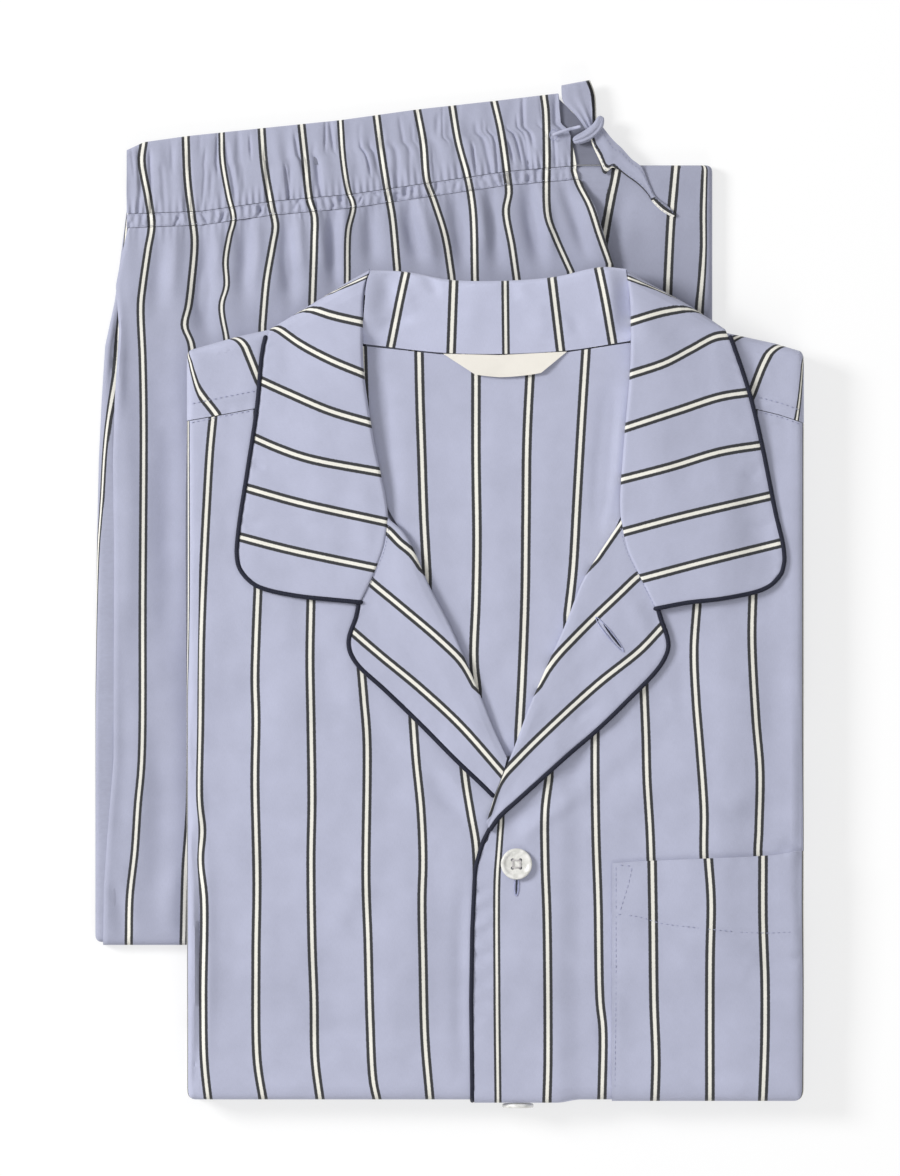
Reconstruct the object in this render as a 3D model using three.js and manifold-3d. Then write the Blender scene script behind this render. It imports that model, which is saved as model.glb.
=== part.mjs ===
// A pyjama set folded for a shelf: a piped jacket lying on a pair of trousers, seen from above.
// Millimetres, +Z up. +Y runs towards the collar and the waistband, and the set rests on z = 0.
// The origin is the middle of the set's footprint, on the surface that it lies on.

import * as THREE from 'three';
import { mergeVertices } from 'three/addons/utils/BufferGeometryUtils.js';
import Module from 'manifold-3d';

const wasm = await Module();
wasm.setup();

// Driving dimensions: cloth and seams
const GAP = 0.3;
const SEAM = 0.4;
const PIPING_RADIUS = 1.25;
const PIPING_ROOM = 0.6;
const FOLD_ANGLES = [0, 30, 60, 90];

// Driving dimensions: trousers
const LEG_STACK = 7.2;
const TROUSER_BACK_CLOTH = 1.3;
const TROUSER_CLOTH = 1.4;
const TROUSER_RIGHT = 147.6;
const TROUSER_BOTTOM = -197.7;
const LEG_TOP_EDGE = 240.2;
const TROUSER_BACK_TOP = LEG_STACK + GAP + TROUSER_BACK_CLOTH;
const TROUSER_TOP = TROUSER_BACK_TOP + GAP + TROUSER_CLOTH;
const TROUSER_FRONT_FOLD = { radius: 6.7, reach: 8.5 };
const TROUSER_BACK_FOLD = { radius: 5, reach: 6 };
const WAIST_BEND = 241;
const WAIST_SLOPE = 0.12;
const FRONT_GATHERS = 13;
const FRONT_GATHER_HEIGHT = 1.3;
const FRONT_GATHER_END = 172;
const FRONT_GATHER_LENGTH = 48;
const CASING_GATHERS = 28;
const CASING_GATHER_HEIGHT = 1.3;
const RUFFLES = 72;
const RUFFLE_HEIGHT = 0.9;
const RUFFLE_WIDTH = 7.5;

// Driving dimensions: jacket
const JACKET_LEFT = -147.2;
const JACKET_RIGHT = 198.7;
const JACKET_BOTTOM = -284;
const JACKET_STACK = 17;
const JACKET_CLOTH = 1.5;
const JACKET_FOLD = { radius: 7, reach: 10 };
const JACKET_DROP_DOWN = 6;
const JACKET_DROP_SIDE = 4;
const FRONT_OVERLAP_EDGE = 58;
const OVERLAP_FADE = { from: 60, across: 14, top: -77, down: 17 };
const BACK_CLOTH = 1;
const BACK_DEPTH = 0.5;
const LEAF_CLOTH = 1.5;
const LEAF_EDGE_RISE = 2.4;
const SHOULDER_CORNER = 0.5;
const ROLL_ROOM = 3.4;
const BACK_ROOM = 1.4;
const POCKET_CLOTH = 1;
const POCKET_TOP = -149.6;
const LABEL_CLOTH = 0.6;
const BUTTON_DIAMETER = 17.6;
const BUTTON_HEIGHT = 2.7;
const BUTTON_HOLE = 1.8;
const BUTTON_HOLE_SPACING = 4.4;
const CORD_SIDES = 6;
const FRONT_PIPING_LIFT = 0.55;

const JACKET_TOP = TROUSER_TOP + GAP + JACKET_STACK + GAP + JACKET_CLOTH;
const BODY_DEPTH = JACKET_CLOTH + GAP;
const FRONT_RISE = JACKET_CLOTH + GAP;

// Colours of the cloth, the piping, the label and the buttons
const CLOTH = { color: 0xb8bcd6, roughness: 0.85, metalness: 0 };
const SHADED_CLOTH = { color: 0xa5a8be, roughness: 0.9, metalness: 0 };
const PIPING = { color: 0x191c32, roughness: 0.7, metalness: 0 };
const LABEL = { color: 0xf0ece4, roughness: 0.6, metalness: 0 };
const PEARL = { color: 0xe6e6e1, roughness: 0.25, metalness: 0 };

// Where the jacket slopes down off the trousers: past their right side, and past their lower fold
const SIDE_SLOPE = [149, 157, 166, 174, 182];
const LOWER_SLOPE = [-196, -209, -222, -236, -250];

// The jacket's upper edge over the shoulders, as a height y for each x
const GABLE = [
  { x: -147.2, y: 135.6 }, { x: -120, y: 143.4 },
  { x: -90, y: 150 }, { x: -60, y: 164 }, { x: -40, y: 171 }, { x: 95, y: 171 },
  { x: 118, y: 162 }, { x: 149, y: 147 }, { x: 157, y: 145.4 }, { x: 182, y: 140 },
  { x: 198.7, y: 135 },
];

// The seam between each front and the part of the back that comes forward over the shoulder
const SHOULDER_SEAM = [
  { x: -147.2, y: 96.3 }, { x: -131, y: 99.1 }, { x: -107, y: 103.6 }, { x: -46, y: 113 },
  { x: 98, y: 113 }, { x: 171, y: 103.1 }, { x: 185, y: 99.7 }, { x: 198.7, y: 95.2 },
];

// The lines that the collar and the lapels roll on, as an x for each y, left and right
const ROLL_LINES = [
  { y: -138.5, left: 32, right: 18.2 },
  { y: -121.5, left: 32, right: 21.6 },
  { y: -99.1, left: 32, right: 31.1 },
  { y: -91.8, left: 31.4, right: 34.4 },
  { y: -54.3, left: 16, right: 48.6 },
  { y: -20.7, left: 1.4, right: 63.4 },
  { y: 5.6, left: -12, right: 74.2 },
  { y: 32.5, left: -24.5, right: 89.9 },
  { y: 43.7, left: -31.2, right: 94.8 },
  { y: 52.1, left: -35.5, right: 95.5 },
  { y: 85.7, left: -42.3, right: 97.7 },
  { y: 124.9, left: -47.9, right: 101 },
  { y: 150, left: -48.4, right: 101.4 },
  { y: 169.7, left: -47.3, right: 100.4 },
  { y: 181.5, left: -43.9, right: 98.4 },
];

// The piped edge of the right front below the lapel, as an x for each y
const FRONT_EDGE = [
  { y: -284, x: 13.9 }, { y: -228, x: 13.2 }, { y: -188.7, x: 13.8 },
  { y: -155, x: 15.4 }, { y: -146.7, x: 17.6 }, { y: -138.5, x: 20.6 },
];

// The trousers' outline: the layer that shows beyond the front, and the front itself
const LEG_SIDE = [
  { y: -197.7, x: -198.9 }, { y: -60, x: -198.9 }, { y: 30, x: -198 }, { y: 74, x: -197 },
  { y: 108, x: -195.4 }, { y: 139, x: -193.4 }, { y: 164, x: -188 }, { y: 240.2, x: -178 },
];
const FRONT_SIDE = [
  { y: -197.7, x: -194.5 }, { y: -165.2, x: -194 }, { y: -138.3, x: -192.3 }, { y: -93.5, x: -188.6 },
  { y: 29.7, x: -188.4 }, { y: 74.5, x: -189 }, { y: 108.1, x: -187.9 }, { y: 147.3, x: -185.4 },
  { y: 172.5, x: -187.3 }, { y: 187.6, x: -184.5 }, { y: 205, x: -180.6 },
];
const FRONT_RIGHT_SIDE = [
  { y: -197.7, x: 143 }, { y: 30, x: 140 }, { y: 100, x: 118 }, { y: 185.4, x: 91 },
  { y: 214.5, x: 81.5 }, { y: 232.4, x: 72 },
];
const CASING_FOOT = [
  { x: -180.6, y: 205.2 }, { x: -139.7, y: 206.7 }, { x: -99.4, y: 212.3 }, { x: -55.7, y: 216.2 },
  { x: -13.7, y: 222.3 }, { x: 32.8, y: 229.1 }, { x: 72, y: 232.4 }, { x: 90, y: 234 },
];
const CASING_HEAD = [
  { x: -181.2, y: 248.6 }, { x: -171.6, y: 253.1 }, { x: -147.5, y: 256.5 }, { x: -105, y: 261 },
  { x: -61.3, y: 265.5 }, { x: -17.6, y: 271.6 }, { x: 28.3, y: 276.7 }, { x: 60.8, y: 280.6 },
  { x: 70, y: 279.6 },
];
const CASING_RIGHT = [{ y: 224, x: 73.2 }, { y: 241.4, x: 71.4 }, { y: 255.4, x: 68.6 }, { y: 281, x: 61 }];

// The folded layers at the side of a stack, from the outer cloth's edge down to the resting face:
// how far down, as a share, and how far in from the outline
const STACK_SIDE = [
  { down: 0.04, inset: 2.5 }, { down: 0.14, inset: 0.7 }, { down: 0.4, inset: 0.4 }, { down: 0.5, inset: 2.3 },
  { down: 0.6, inset: 0.8 }, { down: 0.86, inset: 0.6 },
];
const STACK_FOOT_INSET = 2.8;

// Numbers and curves

function smooth(share) {
  const t = THREE.MathUtils.clamp(share, 0, 1);
  return t * t * (3 - 2 * t);
}

// Reads a table with columns key and value at a place between its rows
function read(table, key, value, at) {
  const rows = [...table].sort((a, b) => a[key] - b[key]);
  const next = rows.findIndex((row) => row[key] >= at);
  if (next === 0) return rows[0][value];
  if (next === -1) return rows[rows.length - 1][value];
  const low = rows[next - 1];
  const high = rows[next];
  return THREE.MathUtils.mapLinear(at, low[key], high[key], low[value], high[value]);
}

function spread(from, to, steps) {
  return Array.from({ length: steps + 1 }, (_, i) => from + ((to - from) * i) / steps);
}

function planCurve(points) {
  return new THREE.CatmullRomCurve3(points.map(([x, y]) => new THREE.Vector3(x, y, 0)), false, 'centripetal');
}

// Closed meshes

function signedVolume(positions, triangles) {
  const [a, b, c] = [new THREE.Vector3(), new THREE.Vector3(), new THREE.Vector3()];
  let volume = 0;
  for (let i = 0; i < triangles.length; i += 3) {
    a.fromArray(positions, 3 * triangles[i]);
    b.fromArray(positions, 3 * triangles[i + 1]);
    c.fromArray(positions, 3 * triangles[i + 2]);
    volume += a.dot(b.cross(c)) / 6;
  }
  return volume;
}

// Merges points that meet, drops faces that this closes up, and turns the faces outwards
function closedGeometry(points, triangles) {
  const loose = new THREE.BufferGeometry();
  loose.setAttribute('position', new THREE.Float32BufferAttribute(points.flat(), 3));
  loose.setIndex(triangles.flat());
  const merged = mergeVertices(loose, 1e-3);
  const index = merged.getIndex().array;
  const kept = [];
  for (let i = 0; i < index.length; i += 3) {
    const [a, b, c] = [index[i], index[i + 1], index[i + 2]];
    if (a !== b && b !== c && c !== a) kept.push(a, b, c);
  }
  if (signedVolume(merged.getAttribute('position').array, kept) < 0) kept.reverse();
  merged.setIndex(kept);
  return merged;
}

function rimOf(grid) {
  const last = grid.length - 1;
  const across = grid[0].length - 1;
  return [
    ...grid[0].slice(0, across),
    ...grid.slice(0, last).map((row) => row[across]),
    ...grid[last].slice(1).reverse(),
    ...grid.slice(1).reverse().map((row) => row[0]),
  ];
}

// A closed solid with a grid of points on its upper face, one on its lower face and loops down its side
function blockGeometry(upper, loops, lower) {
  const points = [];
  const triangles = [];
  const addFace = (grid, turned) => {
    const start = points.length;
    const width = grid[0].length;
    points.push(...grid.flat());
    for (let r = 0; r + 1 < grid.length; r += 1) {
      for (let c = 0; c + 1 < width; c += 1) {
        const a = start + r * width + c;
        const [b, d, e] = [a + 1, a + width, a + width + 1];
        triangles.push(...(turned ? [[a, b, e], [a, e, d]] : [[a, e, b], [a, d, e]]));
      }
    }
  };
  addFace(upper, false);
  addFace(lower, true);
  const rims = [rimOf(upper), ...loops, rimOf(lower)];
  for (let k = 0; k + 1 < rims.length; k += 1) {
    const start = points.length;
    const count = rims[k].length;
    points.push(...rims[k], ...rims[k + 1]);
    for (let i = 0; i < count; i += 1) {
      const a = start + i;
      const b = start + ((i + 1) % count);
      triangles.push([a, b, b + count], [a, b + count, a + count]);
    }
  }
  return closedGeometry(points, triangles);
}

function wallGeometry(outer, inner) {
  return blockGeometry(outer, [], inner);
}

// The points of a grid moved back by the cloth's thickness, square to the cloth
function movedIn(grid, cloth) {
  const at = (r, c) => {
    const row = grid[THREE.MathUtils.clamp(r, 0, grid.length - 1)];
    return new THREE.Vector3(...row[THREE.MathUtils.clamp(c, 0, row.length - 1)]);
  };
  return grid.map((row, r) => row.map((point, c) => {
    const along = at(r, c + 1).sub(at(r, c - 1));
    const down = at(r + 1, c).sub(at(r - 1, c));
    const normal = along.cross(down).normalize();
    return new THREE.Vector3(...point).addScaledVector(normal, -cloth).toArray();
  }));
}

// A fold's rounded edge, from its lowest line up to the flat cloth, at a depth inside the outer face
function foldSection(fold, depth) {
  const radius = fold.radius - depth;
  const arc = FOLD_ANGLES.map((degrees) => {
    const angle = THREE.MathUtils.degToRad(degrees);
    return {
      inset: depth + radius * (1 - Math.cos(angle)),
      corner: radius * (1 - Math.sin(angle)),
      drop: depth + radius * (1 - Math.sin(angle)),
    };
  });
  return [{ inset: depth, corner: radius, drop: fold.reach }, ...arc];
}

// Surfaces of the two garments

function trouserTop(y) {
  return TROUSER_TOP - WAIST_SLOPE * Math.max(0, y - WAIST_BEND);
}

function sideSlope(x) {
  return smooth((x - SIDE_SLOPE[0]) / (SIDE_SLOPE.at(-1) - SIDE_SLOPE[0]));
}

function lowerSlope(y) {
  return smooth((y - LOWER_SLOPE[0]) / (LOWER_SLOPE.at(-1) - LOWER_SLOPE[0]));
}

function jacketUnder(x, y) {
  return (TROUSER_TOP + GAP) * (1 - sideSlope(x)) * (1 - lowerSlope(y));
}

function jacketTop(x, y) {
  const side = (JACKET_DROP_SIDE / JACKET_DROP_DOWN) * sideSlope(x);
  return JACKET_TOP - JACKET_DROP_DOWN * (1 - (1 - side) * (1 - lowerSlope(y)));
}

function rollLeft(y) {
  return read(ROLL_LINES, 'y', 'left', y);
}

function rollRight(y) {
  return read(ROLL_LINES, 'y', 'right', y);
}

// A jacket sheet: columns give x at a row's y, rows give y at a column's x, and both give the drop at a fold
function jacketSheet(columns, rows, surface) {
  return rows.map((row) => columns.map((column) => {
    const x = column.at(row.around, row.corner ?? 0);
    const y = row.at(x);
    return [x, y, surface(x, y) - Math.max(column.drop, row.drop)];
  }));
}

function leftFoldColumns(depth) {
  return foldSection(JACKET_FOLD, depth).map((part) => ({
    at: (y, corner) => JACKET_LEFT + part.inset + corner,
    drop: part.drop,
  }));
}

function rightFoldColumns(depth) {
  return foldSection(JACKET_FOLD, depth).reverse().map((part) => ({
    at: (y, corner) => JACKET_RIGHT - part.inset - corner,
    drop: part.drop,
  }));
}

function fixedColumns(places, depth) {
  return places.map((x) => ({ at: () => x, drop: depth }));
}

function fixedRows(places, depth) {
  return places.map((y) => ({ around: y, at: () => y, drop: depth }));
}

function lowerFoldRows(depth, bulge = () => 0) {
  return foldSection(JACKET_FOLD, depth).reverse().map((part) => ({
    around: JACKET_BOTTOM + part.inset,
    corner: part.corner,
    at: (x) => JACKET_BOTTOM + part.inset - bulge(x),
    drop: part.drop,
  }));
}

function shoulderFoldRows(depth) {
  return foldSection(JACKET_FOLD, depth).map((part) => ({
    around: 160,
    corner: part.corner * SHOULDER_CORNER,
    at: (x) => read(GABLE, 'x', 'y', x) - part.inset,
    drop: part.drop,
  }));
}

// The jacket's folded sleeves, sides and lower half: one rounded solid, layered at its edges
function jacketBody() {
  const grid = (depth, surface) => jacketSheet(
    [
      ...leftFoldColumns(depth),
      ...fixedColumns([-120, -90, -60, -40, 95, 118, ...SIDE_SLOPE], depth),
      ...rightFoldColumns(depth),
    ],
    [
      ...shoulderFoldRows(depth),
      ...fixedRows([100, -40, ...LOWER_SLOPE], depth),
      ...lowerFoldRows(depth),
    ],
    surface,
  );
  const edge = (x, y) => jacketTop(x, y) - JACKET_FOLD.reach;
  const loopAt = (inset, down) => rimOf(grid(inset, () => 0)).map(([x, y]) => {
    return [x, y, THREE.MathUtils.lerp(edge(x, y), jacketUnder(x, y), down)];
  });
  const lower = grid(STACK_FOOT_INSET, () => 0).map((row) => row.map(([x, y]) => [x, y, jacketUnder(x, y)]));
  const loops = STACK_SIDE.map((layer) => loopAt(layer.inset, layer.down));
  return blockGeometry(grid(BODY_DEPTH, jacketTop), loops, lower);
}

const LEFT_FREE_COLUMNS = [-120, -90, -60];
const NECK_ROWS = [85.7, 52.1, 32.5, 5.6, -54.3];
const FRONT_ROWS = [...NECK_ROWS, -77, -94, -112, -131, POCKET_TOP, ...LOWER_SLOPE];

// Where the right front passes over the left one, it lies one cloth higher
function overlapRise(x, y) {
  const across = smooth((x - OVERLAP_FADE.from) / OVERLAP_FADE.across);
  const down = smooth((OVERLAP_FADE.top - y) / OVERLAP_FADE.down);
  return FRONT_RISE * (1 - across) * down;
}

function seamRow(depth, side) {
  return {
    around: 113,
    at: (x) => read(SHOULDER_SEAM, 'x', 'y', x) + side * (SEAM / 2),
    drop: depth,
  };
}

const LAPEL_FOOT = -100;

function frontLeft() {
  const innerEdge = (y) => (y < LAPEL_FOOT ? FRONT_OVERLAP_EDGE : rollLeft(y) - ROLL_ROOM);
  const columns = (depth) => [
    ...leftFoldColumns(depth),
    ...[0.25, 0.5, 0.75, 1].map((share) => ({
      at: (y) => THREE.MathUtils.lerp(JACKET_LEFT + JACKET_FOLD.radius, innerEdge(y), share),
      drop: depth,
    })),
  ];
  const rows = (depth) => [seamRow(depth, -1), ...fixedRows(FRONT_ROWS, depth), ...lowerFoldRows(depth)];
  const face = (depth) => jacketSheet(columns(depth), rows(depth), jacketTop);
  return wallGeometry(face(0), face(JACKET_CLOTH));
}

const FRONT_EDGE_X = 14;
const RIGHT_FREE_END = 140;
const RIGHT_FREE = [FRONT_EDGE_X, OVERLAP_FADE.from, 67, 74, 90.7, 115, RIGHT_FREE_END];
const FIXED_INSIDE = 50;
const POCKET_FIRST_COLUMN = 4;

function rightInnerEdge(y) {
  return y < -138.5 ? read(FRONT_EDGE, 'y', 'x', y) : rollRight(y) + ROLL_ROOM;
}

function rightColumns(depth) {
  return [
    ...RIGHT_FREE.map((place) => {
      const share = (place - FRONT_EDGE_X) / (RIGHT_FREE_END - FRONT_EDGE_X);
      const fixed = (inner) => inner < FIXED_INSIDE && place !== FRONT_EDGE_X;
      const at = (inner) => (fixed(inner) ? place : THREE.MathUtils.lerp(inner, RIGHT_FREE_END, share));
      return { at: (y) => at(rightInnerEdge(y)), drop: depth };
    }),
    ...fixedColumns(SIDE_SLOPE, depth),
    ...rightFoldColumns(depth),
  ];
}

function frontRightTop(x, y) {
  return jacketTop(x, y) + overlapRise(x, y);
}

function frontRight() {
  const bulge = (x) => overlapRise(x, JACKET_BOTTOM);
  const rows = (depth) => [seamRow(depth, -1), ...fixedRows(FRONT_ROWS, depth), ...lowerFoldRows(depth, bulge)];
  const face = (depth) => jacketSheet(rightColumns(depth), rows(depth), frontRightTop);
  return wallGeometry(face(0), face(JACKET_CLOTH));
}

// The pocket lies on the right front, and its points are the front's own, moved out
function pocket() {
  const rowsFrom = FRONT_ROWS.indexOf(POCKET_TOP);
  const face = (depth) => {
    const columns = rightColumns(depth).slice(POCKET_FIRST_COLUMN, -2);
    const rows = [...fixedRows(FRONT_ROWS.slice(rowsFrom), depth), ...lowerFoldRows(depth).slice(0, -2)];
    return jacketSheet(columns, rows, frontRightTop);
  };
  return wallGeometry(face(-GAP - POCKET_CLOTH), face(-GAP));
}

function shoulder(side) {
  const columns = (depth) => (side === 'left'
    ? [
      ...leftFoldColumns(depth),
      ...fixedColumns(LEFT_FREE_COLUMNS, depth),
      { at: (y) => rollLeft(y) - ROLL_ROOM, drop: depth },
    ]
    : [
      { at: (y) => rollRight(y) + ROLL_ROOM, drop: depth },
      ...fixedColumns([118, ...SIDE_SLOPE], depth),
      ...rightFoldColumns(depth),
    ]);
  const rows = (depth) => [
    ...shoulderFoldRows(depth),
    { around: 137, at: (x) => (read(GABLE, 'x', 'y', x) + read(SHOULDER_SEAM, 'x', 'y', x)) / 2, drop: depth },
    seamRow(depth, 1),
  ];
  const face = (depth) => jacketSheet(columns(depth), rows(depth), jacketTop);
  return wallGeometry(face(0), face(JACKET_CLOTH));
}

// The back shows inside the neck, from the collar seam down to where the fronts cross
const NECK_SEAM = [
  { x: -47, y: 138.8 }, { x: -5, y: 134.2 }, { x: 28, y: 133.4 }, { x: 66, y: 135.4 }, { x: 100, y: 140.6 },
];
const BACK_ROWS = [124.9, ...NECK_ROWS, -77, -91.5];

function jacketBack() {
  const columns = (depth) => spread(0, 1, 4).map((share) => ({
    at: (y) => THREE.MathUtils.lerp(rollLeft(y) - BACK_ROOM, rollRight(y) + BACK_ROOM, share),
    drop: depth,
  }));
  const rows = (depth) => [
    { around: 138, at: (x) => read(NECK_SEAM, 'x', 'y', x) - 0.6, drop: depth },
    ...fixedRows(BACK_ROWS, depth),
  ];
  const face = (depth) => jacketSheet(columns(depth), rows(depth), jacketTop);
  return wallGeometry(face(BACK_DEPTH), face(BACK_DEPTH + BACK_CLOTH));
}

// Collar leaves and lapels

// A leaf's section across, from the roll out to its piped edge: distance in from the roll line,
// or share of the way to the edge, the share of the crest's height, and how far the inner face
// lies further in and further down
const OUTER_HEIGHT = 0.1;
const LEAF_SECTION = [
  { inset: 0, height: 0, inner: LEAF_CLOTH, under: 0 },
  { inset: 0, height: 0.55, inner: LEAF_CLOTH, under: 1.2 },
  { inset: 0.8, height: 0.86, inner: 1, under: 1.2 },
  { inset: 2.7, height: 1, inner: 0.2, under: LEAF_CLOTH },
  { share: 0.3, height: 0.86, under: LEAF_CLOTH },
  { share: 0.62, height: 0.4, under: LEAF_CLOTH },
  { share: 1, height: OUTER_HEIGHT, under: LEAF_CLOTH },
];
const LEAF_FULL_WIDTH = 14;
const ROLL_FOOT = 0.1;

// The plan of a leaf between four edges, with v down the roll line and u across
function leafPlan(edges) {
  const [roll, outer, head, foot] = [edges.roll, edges.outer, edges.head, edges.foot].map(planCurve);
  return (u, v) => {
    const sides = roll.getPointAt(v).lerp(outer.getPointAt(v), u);
    const ends = head.getPointAt(u).lerp(foot.getPointAt(u), v);
    const corners = head.getPointAt(0).lerp(head.getPointAt(1), u)
      .lerp(foot.getPointAt(0).lerp(foot.getPointAt(1), u), v);
    return sides.add(ends).sub(corners);
  };
}

function leafFace(edges, rows, inner) {
  const plan = leafPlan(edges);
  return rows.map(({ v, crest, drop = 0, back = 0, foot = -ROLL_FOOT }) => {
    const down = v + (inner ? back : 0);
    const width = plan(0, down).distanceTo(plan(1, down));
    return LEAF_SECTION.map((part) => {
      const inset = (part.inset + (inner ? part.inner : 0)) * Math.min(1, width / LEAF_FULL_WIDTH);
      const u = part.share ?? inset / width;
      const point = plan(u, down);
      const rise = part.height === 0
        ? foot
        : THREE.MathUtils.mapLinear(part.height, OUTER_HEIGHT, 1, LEAF_EDGE_RISE, crest);
      const z = frontRightTop(point.x, point.y) + rise - drop * (1 - 0.85 * u);
      return [point.x, point.y, z - (inner ? part.under : 0)];
    });
  });
}

function leafGeometry(edges, rows) {
  return wallGeometry(leafFace(edges, rows, false), leafFace(edges, rows, true));
}

const COLLAR_ROWS = [
  { v: 0, crest: 8.5, drop: 14, back: 0.008 }, { v: 0.004, crest: 8.6, drop: 7, back: 0.008 },
  { v: 0.014, crest: 8.8, drop: 2.8, back: 0.006 }, { v: 0.035, crest: 9, drop: 0.7, back: 0.003 },
  { v: 0.07, crest: 9 }, { v: 0.17, crest: 8.2 },
  { v: 0.28, crest: 7.3 }, { v: 0.4, crest: 6.5 },
  { v: 0.52, crest: 5.8 }, { v: 0.63, crest: 5.2 }, { v: 0.72, crest: 4.8, foot: 0.9 },
  { v: 0.77, crest: 4.7, foot: 0.9 }, { v: 0.84, crest: 4.5, foot: 0.9 }, { v: 0.91, crest: 4.2, foot: 0.9 },
  { v: 0.96, crest: 4, foot: 0.9 }, { v: 1, crest: 3.8, foot: 0.9 },
];
const LAPEL_ROWS = [
  { v: 0, crest: 4.2 }, { v: 0.07, crest: 4.4 }, { v: 0.14, crest: 4.5 }, { v: 0.2, crest: 4.5 },
  { v: 0.26, crest: 4.4 }, { v: 0.33, crest: 4.3 }, { v: 0.45, crest: 4.1 }, { v: 0.57, crest: 3.9 },
  { v: 0.69, crest: 3.7 }, { v: 0.8, crest: 3.4 }, { v: 0.9, crest: 3.1 }, { v: 1, crest: 2.8 },
];

const COLLAR_LEFT = {
  roll: [
    [-43.9, 181.5], [-47.3, 169.7], [-48.4, 150], [-47.9, 124.9], [-42.3, 85.7], [-35.5, 52.1], [-34.6, 42],
    [-36.6, 27], [-40.4, 16], [-45, 5], [-49.4, -4],
  ],
  outer: [
    [-100.6, 147.6], [-103.4, 136.1], [-106.7, 102.5], [-111.8, 68.9], [-116.8, 36], [-117.9, 21.3],
    [-116.6, 14.5], [-113.6, 10],
  ],
  head: [[-43.9, 181.5], [-57, 174.2], [-78, 161.3], [-100.6, 147.6]],
  foot: [[-49.4, -4], [-61.3, -2.9], [-83.7, -0.6], [-100.5, 2.6], [-108.5, 5.6], [-113.6, 10]],
};
const COLLAR_RIGHT = {
  roll: [
    [98.4, 181.5], [100.4, 169.7], [101.4, 150], [101, 124.9], [97.7, 85.7], [95.5, 52.1], [96, 41],
    [99, 26], [105, 12.5], [110, 2.5], [115, -7.6],
  ],
  outer: [
    [154.4, 147.6], [158.6, 136.4], [167, 111], [174.2, 81], [181.6, 44], [185.6, 27], [186.4, 18.5],
    [184.9, 11.6], [181, 6.6],
  ],
  head: [[98.4, 181.5], [107.2, 176.1], [134.4, 160.9], [154.4, 147.6]],
  foot: [[115, -7.6], [133, -4.2], [151.6, -2.1], [171, 1.7], [177, 4], [181, 6.6]],
};
const LAPEL_LEFT = {
  roll: [[-30.5, 41], [-24.5, 32.5], [-12, 5.6], [1.4, -20.7], [16, -54.3], [24.8, -76.5]],
  outer: [
    [-48.2, -5.8], [-51, -14], [-54.2, -22], [-55.4, -27.5], [-54.4, -33], [-50.6, -39.4], [-36, -52.8],
    [-15.6, -72.4], [3.8, -92], [19.4, -106.8],
  ],
  head: [[-30.5, 41], [-35.8, 26], [-39.6, 15], [-44.2, 4], [-48.2, -5.8]],
  foot: [[24.8, -76.5], [26.6, -86.5], [25.6, -96], [19.4, -106.8]],
};
const LAPEL_RIGHT = {
  roll: [
    [93.2, 37.2], [89.9, 32.5], [83.2, 21.3], [74.8, 7.3], [64.7, -17.9], [53.5, -43.1], [45.1, -62.7],
    [36.7, -85.1], [31.1, -99.1], [25.5, -113.1], [20.6, -128.5],
  ],
  outer: [
    [113.2, -9.8], [117.2, -16.6], [120.6, -24], [121.3, -31], [116.6, -40.6], [99.4, -58.8], [83, -74.8],
    [66, -89.4], [52.4, -101.6], [38, -114.6], [27, -124.6], [22, -131.5],
  ],
  head: [[93.2, 37.2], [97.7, 24.4], [103.5, 11.4], [108.4, 1.2], [113.2, -9.8]],
  foot: [[20.6, -128.5], [21.3, -130], [22, -131.5]],
};

// The inner side of the collar, up from the neck seam to the fold at the back of the neck
const STAND_SECTION = [
  { up: 0, rise: 0 }, { up: 0.12, rise: 1.3 }, { up: 0.4, rise: 3.9 }, { up: 0.7, rise: 6.6 },
  { up: 0.88, rise: 8 }, { up: 0.96, rise: 8 }, { up: 0.992, rise: 6.4 }, { up: 1, rise: 4.4 },
  { up: 1, rise: -7 },
];
const STAND_HEAD = [
  [-42, 180.4], [-25, 179.8], [0.3, 175.3], [28.3, 174.7], [59.1, 177], [84.3, 182.4], [96.4, 181.4],
];
const STAND_FOOT = [[-46.6, 139.4], [-5, 134.6], [28, 133.8], [66, 135.8], [99.6, 141.2]];
const STAND_STEPS = 12;

function collarStand() {
  const head = planCurve(STAND_HEAD);
  const foot = planCurve(STAND_FOOT);
  const grid = STAND_SECTION.map(({ up, rise }) => spread(0, 1, STAND_STEPS).map((u) => {
    const point = foot.getPointAt(u).lerp(head.getPointAt(u), up);
    const x = THREE.MathUtils.clamp(point.x, rollLeft(point.y) + 0.5, rollRight(point.y) - 0.5);
    return [x, point.y, jacketTop(x, point.y) + rise];
  }));
  return wallGeometry(grid, movedIn(grid, LEAF_CLOTH));
}

// Piping: a corded edge beside a leaf's outer edge, a seam's width out from it
const COLLAR_PIPING = { from: 4, alongFoot: true };
const LAPEL_PIPING = { from: 1, alongFoot: false };

function cordGeometry(points, radius, sides) {
  const section = new THREE.Shape();
  for (let i = 0; i < sides; i += 1) {
    const angle = (2 * Math.PI * i) / sides;
    section[i ? 'lineTo' : 'moveTo'](radius * Math.cos(angle), radius * Math.sin(angle));
  }
  section.closePath();
  const path = new THREE.CatmullRomCurve3(points, false, 'centripetal');
  const steps = Math.round(points.length * 1.5);
  const extruded = new THREE.ExtrudeGeometry(section, { steps, extrudePath: path });
  extruded.deleteAttribute('normal');
  extruded.deleteAttribute('uv');
  return mergeVertices(extruded, 1e-3);
}

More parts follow.
